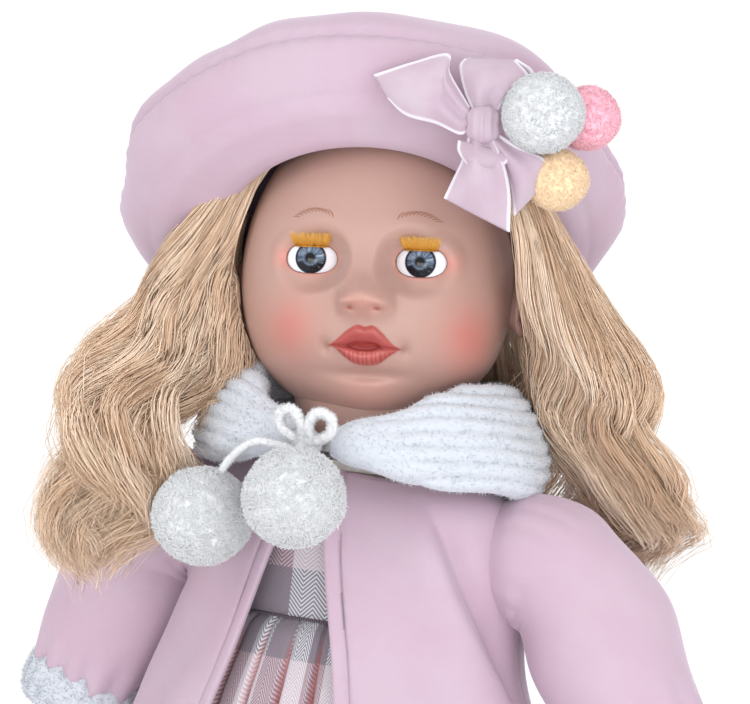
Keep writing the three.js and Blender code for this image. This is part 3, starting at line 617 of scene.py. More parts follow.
def make_tie():
    for name, _ in SIDES:
        path = along(TIE_KNOT + np.array(TAILS[name]), 60)
        cord, pile = chenille(f"tie_cord_{name}", path, CORD_R, "tie_ends", 1500, f"tie_tail_{name}")
        place = f"pompom_{name}", POMPOMS[name], POMPOM_R
        balls = pompom(*place, WHITE_PLUSH, 2500, 5, in_doll, "tie_ends", "plush", thick=0.2, shag=0.13)
    polar = np.linspace(0.05, math.pi - 0.05, 30)[:, None]
    around = circle(48)[None, :]
    wraps = 1 + 0.13 * np.abs(np.sin(2.5 * around + 3 * polar))
    points, faces, uv = loft(TIE_KNOT + ball_rings(polar, around) * [4.2, 3.8, 4.0] * wraps[..., None])
    # painted shade: the knot under its pile is set darker
    tip = {"tip": np.full(len(points), 0.7)}
    put("tie_knot", points, faces, WHITE_PLUSH, "torso", "tie_cord", "tie_bow", uv=uv, values=tip)
    fuzz("tie_knot_pile", points, faces, 2500, 1.0, WHITE_PLUSH, "torso", "tie_cord", 0.1)
    bend = [(1, -1, 2), (1.4, -3.4, 6.6), (4.4, -4.4, 10.4), (9, -3.6, 9), (8.6, -2, 4), (2.4, -1, 0.4)]
    bend = np.array(bend)
    for name, side in SIDES:
        path = along(TIE_KNOT + bend * [side, 1, 1], 60)
        chenille(f"tie_loop_{name}", path, 1.35 * CORD_R, "torso", 1600)


make_tie()


# ---------------------------------------------------------------- vinyl
SKIN = np.array(rgb(181, 146, 136))


def vinyl_finish(name, painted):
    """Soft matt vinyl with a fine moulded grain; painted vinyl takes its colour and gloss from the mesh."""
    f = Finish(name, specular_ior_level=0.42, subsurface_weight=0.22, subsurface_scale=0.005)
    f.shader.inputs["Subsurface Radius"].default_value = (1.0, 0.45, 0.3)
    at = f.place()
    cloud = f.noise(at, 28, 3)
    base = f.value("paint", "Color") if painted else tuple(SKIN)
    tint = f.ramp(cloud, [(0.3, (0.965, 0.955, 0.95)), (0.7, (1.0, 1.0, 1.0))])
    f.set("Base Color", f.mix(1.0, base, tint, "MULTIPLY"))
    rough = f.between(f.noise(at, 160, 2), 0.3, 0.7, 0.4, 0.5)
    if painted:
        rough = f.math("SUBTRACT", rough, f.math("MULTIPLY", f.value("gloss"), 0.26))
    f.set("Roughness", rough)
    return f.bump(f.noise(at, 1500, 2), 0.03, 0.5).material


VINYL = vinyl_finish("Vinyl", False)
PAINTED_VINYL = vinyl_finish("PaintedVinyl", True)

# ---------------------------------------------------------------- face
HEAD = {
    "centre": np.array([0, 2, 388]),
    "half_width": (48.4, 46.0),
    "front": 48,
    "back": 52,
    "up": 62,
    "down": 46.5,
}
LID_R = 11.0
BALL_R = 10.25
CORNERS = ((-12.2, -29.4), (12.2, -29.8))


def mouth_line(*between):
    return [CORNERS[0], *between, CORNERS[1]]


UPPER_LIP = mouth_line(
    (-8.6, -26.8), (-5.4, -24), (-2, -22.2), (0.4, -22.8), (3, -22.3), (6.2, -24.6), (9, -27.6)
)
LOWER_LIP = mouth_line((-9.6, -30.4), (-6.6, -33), (-3.6, -34.8), (0.6, -35.4), (5, -34.6), (8.4, -32.2))
MOUTH_TOP = mouth_line(
    (-6.6, -29.3), (-5.2, -28.5), (-2.6, -27.6), (0, -27.7), (2.4, -27.5), (4.6, -28.3), (6, -29.4)
)
MOUTH_BOTTOM = mouth_line(
    (-6.6, -29.5), (-5.2, -30), (-2.6, -30.8), (0.2, -31), (2.8, -30.7), (4.6, -30.2), (6, -29.6)
)


def edge(outline, x):
    corners = np.array(outline, float)
    return smooth_rows(corners, np.clip(x, corners[0, 0], corners[-1, 0]))[..., 0]


def lid_gap(x, h):
    """Distance outside (+) or inside (-) the edge of the eye's opening, mm."""
    dx = (np.abs(x) - EYE[0]) / 8.8
    dh = (h + 0.6) / 5.3
    s = (np.abs(dx) ** 2.5 + np.abs(dh) ** 2.1) ** (1 / 2.25)
    reach = np.hypot(np.abs(x) - EYE[0], h + 0.6) / np.maximum(s, 1e-6)
    return (s - 1) * reach


def to_middle(x, h):
    """The face is moulded a little towards the doll's left below the eyes."""
    return x - 2.0 * smooth(-h, 3, 13) + 0.3 * smooth(-h, 18, 26)


def relief(x, h):
    eye_side = np.abs(x)
    x = to_middle(x, h)
    a = np.abs(x)
    rise = (
        3.0 * hump(a - 26, h + 21, 12, 12)
        - 0.9 * hump(eye_side - EYE[0], h, 11, 8)
        + 0.9 * hump(x, h + 7, 4.2, 6)
        - 1.7 * hump(x, h - 1, 5, 5)
        + 10.6 * hump(x, h + 13.4, 5.2, 4.2)
        + 4.2 * hump(a - 6.7, h + 15.0, 2.5, 2.2)
        - 2.2 * hump(a - 10.1, h + 14.6, 1.1, 2.7)
        - 2.0 * hump(a - 4.5, h + 16.9, 1.3, 0.8)
        + 3.2 * hump(x, h + 28, 12.5, 8)
        - 0.5 * hump(x - 0.2, h + 20.2, 1.3, 1.8)
        - 2.9 * hump(x, h + 38.2, 8, 1.4)
        + 4.2 * hump(x, h + 46, 9.5, 5)
        - 1.6 * hump(x + 13.4, h + 29.4, 1.5, 2.0)
        - 1.6 * hump(x - 13.4, h + 29.8, 1.5, 2.0)
        - 0.5 * hump(eye_side - 15.5, h + 9.6, 5, 1.3)
        + 0.7 * hump(eye_side - 18, h - 12.6, 10, 2.6)
    )
    across = np.clip(1 - np.abs(x / 12.2) ** 2.6, 0, 1)
    top, bottom = edge(UPPER_LIP, x), edge(LOWER_LIP, x)
    mouth_top, mouth_bottom = edge(MOUTH_TOP, x), edge(MOUTH_BOTTOM, x)
    upper = np.clip((h - mouth_top) / np.maximum(top - mouth_top, 0.3), 0, 1)
    lower = np.clip((mouth_bottom - h) / np.maximum(mouth_bottom - bottom, 0.3), 0, 1)
    lips = 1.6 * np.sin(math.pi * np.clip(upper, 0.06, 1)) ** 0.8 * (upper < 1) * (upper > 0)
    lips += 2.1 * np.sin(math.pi * np.clip(lower, 0.06, 1)) ** 0.8 * (lower < 1) * (lower > 0)
    lips *= across
    opening = smooth(np.minimum(mouth_top - h, h - mouth_bottom), 0.0, 0.9)
    seam = bell(h - (mouth_top + mouth_bottom) / 2, 0.45) * smooth(across, 0.02, 0.3)
    return rise + lips - 2.2 * opening - 0.7 * seam * (1 - opening)


def face_paint(x, h, front):
    """Colour and gloss of the painted vinyl at face coordinates, with painted shade at the eye openings,
    nostrils, lip crease and mouth corners.
    """
    gap = lid_gap(x, h)
    eye_side = np.abs(x)
    x = to_middle(x, h)
    a = np.abs(x)
    colour = np.broadcast_to(SKIN, x.shape + (3,)).copy()
    gloss = np.zeros(x.shape)

    def lay(amount, tone, glossy=None):
        nonlocal colour, gloss
        amount = np.clip(amount * front, 0, 1)[..., None]
        colour = colour * (1 - amount) + np.array(tone) * amount
        if glossy is not None:
            gloss = gloss * (1 - amount[..., 0]) + glossy * amount[..., 0]

    lay(0.5 * np.exp(-(((x + 26) / 8.5) ** 2 + ((h + 24) / 9.5) ** 2)), rgb(204, 105, 97))
    lay(0.58 * np.exp(-(((x - 33) / 8.0) ** 2 + ((h + 26) / 11.0) ** 2)), rgb(202, 105, 97))
    lay(0.34 * np.exp(-(((eye_side - 28.5) / 3.0) ** 2 + ((h + 0.5) / 3.4) ** 2)), rgb(226, 120, 104))
    lay(0.25 * hump(x, h + 16, 5, 2.5), rgb(226, 140, 126))
    lay(0.2 * hump(x, h + 45, 9, 5), rgb(228, 150, 135))
    # painted shade at the eye opening: a soft reddish ring along its edge and a dark band where the lid tucks
    # in behind it
    lay(0.4 * bell(gap, 0.9), rgb(205, 120, 105))
    lay(0.92 * smooth(-gap, -0.05, 0.3), rgb(58, 34, 34))
    # nostrils painted a dark reddish brown: partly the doll's paint, partly painted shade in their moulded
    # recesses
    lay(0.75 * smooth(hump(a - 4.5, h + 16.9, 1.2, 0.7), 0.4, 0.95), rgb(164, 86, 74))
    top, bottom = edge(UPPER_LIP, x), edge(LOWER_LIP, x)
    within = (x > CORNERS[0][0]) & (x < CORNERS[1][0])
    lip = smooth(np.minimum(top - h, h - bottom), -0.25, 0.45) * within
    shade = 0.5 + 0.5 * np.sin(x * 4.2 + 0.6 * np.sin(x * 1.7))
    lay(lip, rgb(168, 78, 74), 0.9)
    lay(lip * smooth(h, -26, -23) * 0.3, rgb(172, 72, 68))
    lay(lip * (h < -31) * shade * 0.32, rgb(228, 140, 130))
    mouth_top, mouth_bottom = edge(MOUTH_TOP, x), edge(MOUTH_BOTTOM, x)
    opening = smooth(np.minimum(mouth_top - h, h - mouth_bottom), -0.1, 0.7)
    lay(opening * within, rgb(158, 62, 60), 0.4)
    # painted shade in the crease where the lips meet, which the relief also sinks
    seam = bell(h - (mouth_top + mouth_bottom) / 2, 0.4) * within
    lay(seam * 0.7, rgb(140, 52, 48))
    # painted shade in the dimples at the mouth's corners
    for side, corner in zip((-1, 1), CORNERS):
        lay(0.5 * hump(x - corner[0] - 0.7 * side, h - corner[1], 0.8, 0.9), rgb(140, 82, 66))
    return colour, gloss


def spread(fine, coarse, inner, limit):
    """Positions from -limit to limit, a fine step apart near 0 and a coarse one outside inner."""
    inside = np.arange(0, inner, fine)
    outside = np.linspace(inner, limit, max(2, round((limit - inner) / coarse)))
    half = np.concatenate([inside, outside])
    return np.concatenate([-half[:0:-1], half])


def head_points(turn, rise):
    """The head's surface at angles round (0 at the front) and up from the chin, with its face coordinates."""
    d = np.stack([np.sin(rise) * np.sin(turn), -np.sin(rise) * np.cos(turn), -np.cos(rise)], -1)
    depth = np.where(d[..., 1] < 0, HEAD["front"], HEAD["back"])
    height = np.where(d[..., 2] < 0, HEAD["down"], HEAD["up"])
    left_share = 0.5 + 0.5 * np.tanh(d[..., 0] * 4)
    half_width = HEAD["half_width"][0] * (1 - left_share) + HEAD["half_width"][1] * left_share
    power = 2 + 0.26 * smooth(-d[..., 2], 0, 0.6)
    size = (
        np.abs(d[..., 0] / half_width) ** power
        + np.abs(d[..., 1] / depth) ** power
        + np.abs(d[..., 2] / height) ** power
    ) ** (-1 / power)
    at = d * size[..., None] + HEAD["centre"]
    x, h = at[..., 0], at[..., 2] - EYE_LEVEL
    front = smooth(-d[..., 1], 0, 0.5)
    at[..., 1] -= relief(x, h) * front
    at[..., 2] -= 2.4 * hump(x - 2, h + 52, 17, 9) * front
    dx, dh = np.abs(x) - EYE[0], at[..., 2] - EYE[2]
    gap = lid_gap(x, h)
    near = (front > 0.2) & (gap < 7.6)
    flat = dx * dx + dh * dh
    lid = EYE[1] - np.sqrt(np.clip(LID_R**2 - flat, 0, None))
    tucked = EYE[1] - np.sqrt(np.clip((BALL_R - 0.7) ** 2 - flat, 0, None))
    rim = flat / np.maximum(1 + gap / np.maximum(np.sqrt(flat) - gap, 1), 1) ** 2
    lid_edge = EYE[1] - np.sqrt(np.clip(LID_R**2 - rim, 0, None))
    outside = lid_edge + (at[..., 1] - lid_edge) * smooth(gap, 0, 7.6)
    inside = lid + (tucked - lid) * smooth(-gap, 0, 0.75)
    at[..., 1] = np.where(near, np.where(gap > 0, outside, inside), at[..., 1])
    return at, x, h, front, gap


def make_head():
    fine = 0.0075
    turn = spread(fine, 0.04, 0.8, math.pi)[:-1]
    low, high = 0.3, 2.2
    chin, crown = np.linspace(0.02, low, 14)[:-1], np.linspace(high, 3.12, 30)
    rise = np.concatenate([chin, np.arange(low, high, fine), crown])
    turn, rise = np.meshgrid(turn, rise)
    at, x, h, front, gap = head_points(turn, rise)
    colour, gloss = face_paint(x, h, front)
    rows, columns = turn.shape
    faces = grid_faces(rows, columns, wrap=True)
    deep = ((gap < -1.6) & (front > 0.2)).ravel()
    faces = faces[~deep[faces].all(1)]
    ring = np.arange(columns)
    points = np.vstack([at.reshape(-1, 3), at[0].mean(0), at[-1].mean(0)])
    first, last = len(points) - 2, len(points) - 1
    under = np.column_stack([(ring + 1) % columns, ring, np.full(columns, first)])
    over = np.column_stack([ring, (ring + 1) % columns, np.full(columns, last)])
    over[:, :2] += (rows - 1) * columns
    colour = np.vstack([colour.reshape(-1, 3), SKIN, SKIN])
    gloss = np.concatenate([gloss.ravel(), [0, 0]])
    used = np.zeros(len(points), bool)
    for part in (faces, under, over):
        used[part.ravel()] = True
    index = np.cumsum(used) - 1
    head = piece(
        "head_skin",
        in_head(points[used]),
        [index[faces], index[under], index[over]],
        PAINTED_VINYL,
        values={"gloss": gloss[used]},
        colours={"paint": colour[used]},
    )
    return head, points, [faces, under, over]


def make_face_probe(points, faces):
    """Finds the face's surface in front of head coordinates x and h."""
    polygons = [list(map(int, f)) for part in faces for f in part]
    tree = BVHTree.FromPolygons([tuple(p) for p in points], polygons)

    def surface(x, h):
        hit = tree.ray_cast(Vector((x, -90, EYE_LEVEL + h)), Vector((0, 1, 0)))[0]
        return hit.y if hit else -40.0

    return surface


head, head_cloud, head_faces = make_head()
dress(head, "head", "vinyl", "head_shell")
face_at = make_face_probe(head_cloud, head_faces)


def make_neck():
    heights = np.linspace(NECK_Z, NECK_Z + 26, 40)
    rows = [(0, 17.6), (1, 20), (5, 24), (10, 26.6), (16, 28.4), (26, 31)]
    radius = smooth_rows([(NECK_Z + up, r) for up, r in rows], heights)[:, 0]
    angle = circle(72)
    rings = np.stack(
        [
            radius[:, None] * np.cos(angle),
            radius[:, None] * np.sin(angle) + 1.5 * smooth(heights, NECK_Z + 8, NECK_Z + 26)[:, None],
            heights[:, None] + 0 * angle,
        ],
        -1,
    )
    points, faces, uv = loft(rings)
    put("neck", points, faces, VINYL, "head", "vinyl", placed=in_head, uv=uv)


make_neck()


def make_ear(name, side):
    """A moulded ear: rolled rim, inner fold, bowl and lobe, as a height field over an egg outline."""
    share = np.linspace(0, 1, 34)[:, None]
    angle = circle(96)[None, :]
    across = np.cos(angle) * (8.4 - 1.3 * np.sin(angle)) * -1
    tall = np.sin(angle) * 11.6
    tall = np.where(tall < 0, tall * 1.04, tall)
    rim = bell(share - 0.84, 0.12) * smooth(np.sin(angle - 0.5 * np.cos(angle)), -0.85, -0.2)
    fold = bell(share - 0.52, 0.13) * smooth(-np.cos(angle), -0.3, 0.5) * smooth(np.sin(angle), -0.9, 0)
    bowl = bell(share, 0.42)
    lobe = smooth(-np.sin(angle), 0.55, 0.95) * smooth(share, 0.25, 0.7)
    height = 2.2 + 2.7 * rim + 1.5 * fold - 2.6 * bowl + 1.4 * lobe
    height *= np.sqrt(np.clip(1 - np.clip((share - 0.86) / 0.14, 0, 1) ** 2 * 0.75, 0, 1))
    back = smooth(across * share, -3, 8)
    front_side = np.stack([46.6 + height + 2.4 * back * share, 8 + across * share, 383.5 + tall * share], -1)
    tuck = np.linspace(0.1, 1, 7)[:, None]
    behind = np.stack(
        [
            front_side[-1][None, :, 0] * (1 - tuck) + 42 * tuck,
            8 + across * (1 - 0.5 * tuck),
            383.5 + tall * (1 - 0.5 * tuck),
        ],
        -1,
    )
    rings = np.concatenate([front_side[1:], behind])[::-1]
    rings[..., 0] *= side
    points, faces, _ = loft(rings if side > 0 else rings[:, ::-1])
    gloss = {"gloss": np.zeros(len(points))}
    paint = {"paint": np.broadcast_to(SKIN, points.shape)}
    put(name, points, faces, PAINTED_VINYL, "head", "vinyl", placed=in_head, values=gloss, colours=paint)


for side_name, side in SIDES:
    make_ear(f"{side_name}_ear", side)

# ---------------------------------------------------------------- eyes
IRIS_R = 5.25


def eye_finish():
    """Acrylic eye: the distance from its axis gives pupil, fibred iris, dark rim and white; the lower iris is
    painted darker than its top as shade.
    """
    f = Finish("AcrylicEye", roughness=0.08, specular_ior_level=0.2, coat_weight=0.3, coat_roughness=0.015)
    radius = f.value("radius")
    polar = f.value("polar", "Vector")
    fibre = f.noise(f.scaled(polar, (6.5, 6.5, 0.22)), 1.0, 4, 0.62)
    fine = f.noise(f.scaled(polar, (15, 15, 0.4)), 1.0, 2, 0.6)
    threads = f.weigh(fibre, 0.62, fine, 0.38)
    shades = (
        (0.36, rgb(40, 50, 68)),
        (0.5, rgb(88, 104, 126)),
        (0.6, rgb(132, 148, 168)),
        (0.7, rgb(214, 222, 232)),
    )
    streaks = f.ramp(threads, shades)
    body = f.mix(f.between(radius, 1.5, 2.7), rgb(52, 62, 80), streaks)
    # painted shade: the lower part of the iris darker than its top, for how light falls through the dome
    shaded_lower_iris = f.ramp(threads, [(0.46, rgb(4, 5, 10)), (0.6, rgb(20, 26, 40)), (0.68, rgb(190, 200, 214))])
    low = f.math("MULTIPLY", f.math("SUBTRACT", 1.0, f.value("upper")), f.between(radius, 2.2, 3.0))
    body = f.mix(low, body, shaded_lower_iris)
    iris = f.mix(f.between(radius, 4.1, 4.9), body, rgb(12, 15, 28))
    iris = f.mix(f.between(radius, 1.45, 1.75), rgb(2, 2, 4), iris)
    veins = f.between(f.noise(f.place(), 120, 3), 0.45, 0.75, 0.0, 0.35)
    white = f.mix(veins, rgb(236, 238, 243), rgb(216, 220, 230))
    white = f.mix(f.between(radius, 5.1, 7.2, 0.28, 0.0), white, rgb(178, 188, 206))
    painted = f.mix(f.between(radius, IRIS_R - 0.2, IRIS_R + 0.22), iris, white)
    lid = f.mix(f.noise(f.place(), 300, 2), rgb(226, 182, 166), rgb(222, 174, 158))
    f.set("Base Color", f.mix(f.value("lid"), painted, lid))
    return f.bump(f.noise(f.place(), 700, 2), 0.01, 0.3).material


EYE_FINISH = eye_finish()


def lash_finish():
    f = Finish("Lashes", roughness=0.55, specular_ior_level=0.35)
    # painted shade: dark at the lashes' roots and on their strip, a shade line under the lashes; golden along
    # the hairs
    tone = f.weigh(f.value("share"), 0.75, f.noise(f.place(), 900, 2), 0.25)
    colour = f.ramp(tone, [(0.05, rgb(58, 36, 22)), (0.2, rgb(212, 144, 40)), (0.8, rgb(244, 196, 104))])
    f.set("Base Color", colour)
    return f.bump(f.noise(f.place(), 2500, 2), 0.02).material


def brow_finish():
    f = Finish("BrowPaint", roughness=0.5)
    f.set("Base Color", f.mix(f.noise(f.place(), 800, 2), rgb(136, 90, 70), rgb(164, 116, 94)))
    return f.bump(f.noise(f.place(), 1500, 2), 0.02).material


LASH_FINISH = lash_finish()
BROW_FINISH = brow_finish()


def make_eye(name, side):
    centre = np.array([side * EYE[0], EYE[1], EYE[2]])
    polar = np.concatenate([np.linspace(0.004, 0.62, 70), np.linspace(0.62, 3.12, 60)[1:]])[:, None]
    around = circle(96)[None, :]
    out = np.stack(
        [np.sin(polar) * np.cos(around), -np.cos(polar) + 0 * around, np.sin(polar) * np.sin(around)], -1
    )
    dome = 0.45 * np.exp(-((polar / 0.36) ** 4)) + 0 * around
    rings = centre + out * (BALL_R + dome)[..., None]
    points, faces, _ = loft(rings)
    local = points - centre
    radius = np.where(local[:, 1] < 0, np.hypot(local[:, 0], local[:, 2]), 14.0)
    height = unit(local)[:, 2]
    lid = smooth(height, 0.455, 0.475)
    # upper marks the top of the eye; below it the iris gets painted shade
    ball = piece(
        f"{name}_eye_ball",
        in_head(points),
        faces,
        EYE_FINISH,
        values={"radius": radius, "lid": lid, "upper": smooth(local[:, 2], -2.4, 0.6)},
    )
    vector = ball.data.attributes.new("polar", "FLOAT_VECTOR", "POINT")
    flat = np.hypot(local[:, 0], local[:, 2]) + 1e-6
    vector.data.foreach_set(
        "vector", np.column_stack([local[:, 0] / flat, local[:, 2] / flat, flat]).astype(np.float32).ravel()
    )
    dress(ball, f"{name}_eye", "eye_white", f"{name}_eyeball", f"{name}_iris")
    make_lashes(name, centre)
    make_brow(name, side)


def make_lashes(name, centre):
    """A brush of fine hairs set in a strip across the top of the eyeball's opening; the strip is painted dark
    as shade under the lashes.
    """
    count, steps = 560, 7
    across = rng.uniform(-1, 1, count)
    layer = rng.uniform(0, 1, count)
    t = np.linspace(0, 1, steps)[None, :]
    width = 5.5 * across
    lift = np.radians(22.5 + 3.5 * layer)
    on_ball = BALL_R + 0.05
    root = np.stack([width, -on_ball * np.cos(lift) + 0.12 * width**2 / 5.5, on_ball * np.sin(lift)], -1)
    length = rng.uniform(0.45, 1.0, count) ** 0.6
    reach = ((4.4 + 1.2 * layer) * length)[:, None]
    rise = (4.3 * length)[:, None]
    paths = root[:, None, :] + np.stack(
        [
            (1.25 * across[:, None] + rng.normal(0, 0.38, (count, 1))) * t,
            -reach * t * (1 - 0.25 * t),
            rise * (0.35 * t + 0.65 * t**1.8),
        ],
        -1,
    )
    points, faces = strands(paths + centre, 0.085 * (1 - 0.75 * t))
    brush = piece(
        f"{name}_lash_brush",
        in_head(points),
        faces,
        LASH_FINISH,
        values={"share": np.repeat(np.tile(t.ravel(), count), 3)},
    )
    dress(brush, f"{name}_eye", "lash", f"{name}_lashes")
    x = np.linspace(-5.9, 5.9, 40)
    y = -(BALL_R + 0.1) * math.cos(0.39) + 0.12 * x * x / 5.5
    strip = np.column_stack([x, y, np.full(40, BALL_R * math.sin(0.385))])
    thick = 0.42 * np.clip(1 - np.abs(x / 6.1) ** 6, 0.15, 1)
    points, faces, _ = loft(tube(strip + centre, thick, 10, 0.8))
    # painted shade: the strip takes the darkest lash colour, a shade line under the lashes
    share = {"share": np.zeros(len(points))}
    put(f"{name}_lash_strip", points, faces, LASH_FINISH, f"{name}_eye", "lash", placed=in_head, values=share)


def make_brow(name, side):
    """Eleven fine curved strokes that lean outwards, flatter at the temple."""
    strokes = []
    for i in range(11):
        share = i / 10
        start_x = 10.8 + 12.0 * share
        start_h = 12.2 + 2.7 * math.sin(math.pi * (0.1 + 0.8 * share))
        slope = math.radians(84 - 56 * share**0.8)
        length = 3.3 - 0.5 * share
        t = np.linspace(0, 1, 9)
        x = start_x + length * t * np.cos(slope - 0.5 * t)
        h = start_h + length * t * np.sin(slope - 0.5 * t)
        y = np.array([face_at(side * a, b) for a, b in zip(x, h)])
        path = np.column_stack([side * x, y + 0.02, EYE_LEVEL + h])
        width = 0.22 * np.sin(math.pi * np.clip(0.12 + 0.84 * t, 0, 1)) ** 0.7 + 0.02
        strokes.append(loft(tube(path, width, 8, 0.45, up=(0, 1, 0))))
    put(f"{name}_brow", *merged(*strokes), BROW_FINISH, "head", "vinyl", placed=in_head)


for side_name, side in SIDES:
    make_eye(side_name, side)


# ---------------------------------------------------------------- cloth finishes
def velour_finish(name, light, deep):
    """Cotton velour: brushed patches, a short pile that shines at grazing angles, and fine nap grain."""
    f = Finish(name, sheen_weight=0.45, sheen_roughness=0.38, specular_ior_level=0.2)
    f.set("Sheen Tint", rgb(244, 236, 250))
    at = f.place()
    patches = f.between(f.noise(at, 30, 3, 0.55), 0.36, 0.66)
    grain = f.noise(at, 1100, 2, 0.7)
    tone = f.weigh(patches, 0.5, grain, 0.5)
    f.set("Base Color", f.mix(tone, deep, light))
    f.set("Roughness", f.between(patches, 0, 1, 0.95, 0.8))
    pile = f.math("ADD", grain, f.math("MULTIPLY", patches, 0.5))
    return f.bump(pile, 0.16, 0.55).material


VELOUR = velour_finish("PinkVelour", rgb(189, 171, 185), rgb(187, 160, 177))


def ribbon_finish():
    f = Finish("VelvetRibbon", sheen_weight=0.55, sheen_roughness=0.3, specular_ior_level=0.25)
    f.set("Sheen Tint", rgb(255, 240, 246))
    u, v, _ = f.parts(f.place("UV"))
    ribs = f.math("MULTIPLY", f.thread(u, 0.42), f.thread(v, 0.3))
    cloud = f.noise(f.place(), 70, 3)
    # partly painted shade: the gaps between the ribs slightly darker; the clouds are random tone
    tone = f.weigh(ribs, 0.25, cloud, 0.75)
    middle = f.mix(f.between(tone, 0.2, 0.75), rgb(184, 161, 177), rgb(195, 181, 193))
    f.set("Base Color", f.mix(f.value("selvedge"), middle, rgb(226, 222, 232)))
    f.set("Roughness", f.between(cloud, 0.3, 0.7, 0.9, 0.7))
    return f.bump(ribs, 0.09, 0.7).material


RIBBON = ribbon_finish()


def surface_normals(grid, wrap):
    """Unit normals of a rows x columns x 3 grid; wrap closes its columns."""
    down = np.gradient(grid, axis=0)
    if wrap:
        across = (np.roll(grid, -1, axis=1) - np.roll(grid, 1, axis=1)) / 2
    else:
        across = np.gradient(grid, axis=1)
    return unit(np.cross(across, down))


# ---------------------------------------------------------------- beret
HAT_SEAM_H = 24.0
HAT_ROWS = [
    # height, half width, half length, shift along the hat's y axis; from inside the band to the top
    (8, 49.5, 54, 0),
    (2.4, 50.8, 55.2, 0),
    (-0.4, 52.4, 56.4, -0.1),
    (-1.4, 56, 58.6, -0.5),
    (-1.0, 61.8, 62.4, -1),
    (2.2, 72.6, 69.2, -3),
    (9, 82.2, 75.6, -6),
    (17, 86.9, 79.2, -8),
    (HAT_SEAM_H, 87.6, 79.9, -8),
    (33, 85, 77.6, -8),
    (42, 75.2, 68.6, -8),
    (49, 54, 50, -7),
    (52.4, 28, 28, -6),
    (53.6, 6, 6, -6),
]


def on_hat(points):
    turn = Matrix.Rotation(math.radians(-4.8), 3, "Y") @ Matrix.Rotation(math.radians(-38), 3, "X")
    return np.asarray(points) @ np.array(turn).T + [-5, 6.6, 397.5]


def make_beret():
    rows = along(HAT_ROWS, 150)
    angle = circle(300)[None, :]
    h, rx, ry, shift = (rows[:, k][:, None] for k in range(4))
    hat = np.stack([rx * np.cos(angle), ry * np.sin(angle) + shift, h + 0 * angle], -1)
    run = np.arange(len(rows))[:, None]
    seam_row = np.argmin(np.abs(rows[:, 0] - HAT_SEAM_H) + 100 * (rows[:, 1] < 80))
    from_seam = np.abs(run - seam_row) * 1.1
    loose = smooth(run, 30, 62) * (0.35 + 0.65 * smooth(np.sin(angle), -0.75, 0.35))
    puckers = np.sin(angle * 74 + 2 * np.sin(angle * 5)) * 0.3 * bell(from_seam, 5.5)
    folds = 3.6 * ripple(hat * [1, 1, 1.4], 60, 3) + 1.3 * ripple(hat, 34, 4)
    rays = np.sin(angle * 13 + 1.6 * np.sin(angle * 3)) * 1.3 * bell(run - seam_row - 14, 16)
    hem = 0.35 * bell(run - 26, 3.0) - 0.35 * bell(run - 32, 1.4)
    rise = loose * (folds + rays) + puckers - 2.0 * bell(from_seam, 1.7) + hem
    out = surface_normals(hat, True)
    flip = np.sign((out * (hat - [0, -6, 24])).sum(-1).mean())
    hat = hat + out * rise[..., None] * flip
    points, faces, uv = loft(hat, cap_low=False)
    nodes = "beret_brim", "beret_crown"
    put("beret", on_hat(points), faces, VELOUR, "head", "velour", *nodes, placed=in_head, uv=uv)


make_beret()

# ---------------------------------------------------------------- bow and pompoms on the beret
BOW_KNOT = np.array([40.0, -61.0, 439.0])


def flap(name, node, left, right, puff, pleats, fold_depth, rows):
    """A ribbon end between two edges, left and right, given as (x, depth, z) from the knot."""
    a, b = along(left, rows)[:, None], along(right, rows)[:, None]
    t = np.linspace(0, 1, 60)[None, :, None]
    s = np.linspace(0, 1, rows)[:, None]
    sheet = a * (1 - t) + b * t
    across = t[..., 0]
    sheet[..., 1] -= puff * np.sin(math.pi * np.clip(s, 0, 1)) ** 0.8 * np.sin(math.pi * across) ** 0.5
    gathers = fold_depth * np.cos(across * math.pi * 2 * pleats)
    sheet[..., 1] += gathers * (1 - s) ** 1.1 * smooth(s, -0.2, 0.3)
    normal = surface_normals(sheet, False)
    both = np.concatenate([sheet - 0.3 * normal, (sheet + 0.3 * normal)[:, ::-1]], axis=1)
    points, faces, _ = loft(both)
    width = np.concatenate([across[0], across[0][::-1]])
    from_edge = np.minimum(width, 1 - width)[None] * np.linalg.norm(a - b, axis=-1)
    selvedge = 1 - smooth(from_edge, 0.5, 1.0)
    selvedge = np.concatenate([np.broadcast_to(selvedge, both.shape[:2]).ravel(), [0, 0]])
    uv = np.stack([np.broadcast_to(width * 16, both.shape[:2]), np.broadcast_to(s * 20, both.shape[:2])], -1)
    uv = np.vstack([uv.reshape(-1, 2), [[8, 0], [8, 20]]])
    values = {"selvedge": selvedge}
    put(name, points + BOW_KNOT, faces, RIBBON, "head", "ribbon", *node, placed=in_head, uv=uv, values=values)
    for edge_name, column in (("left", 0), ("right", -1)):
        path = along(sheet[:, column], 120)
        bead = 0.3 + 0.16 * np.sin(np.arange(120) * 1.3) ** 2
        points, faces, _ = loft(tube(path, bead, 6, up=(0, 1, 0)))
        picot = f"{name}_{edge_name}_picot"
        values = {"selvedge": np.ones(len(points))}
        put(picot, points + BOW_KNOT, faces, RIBBON, "head", "ribbon", placed=in_head, values=values)


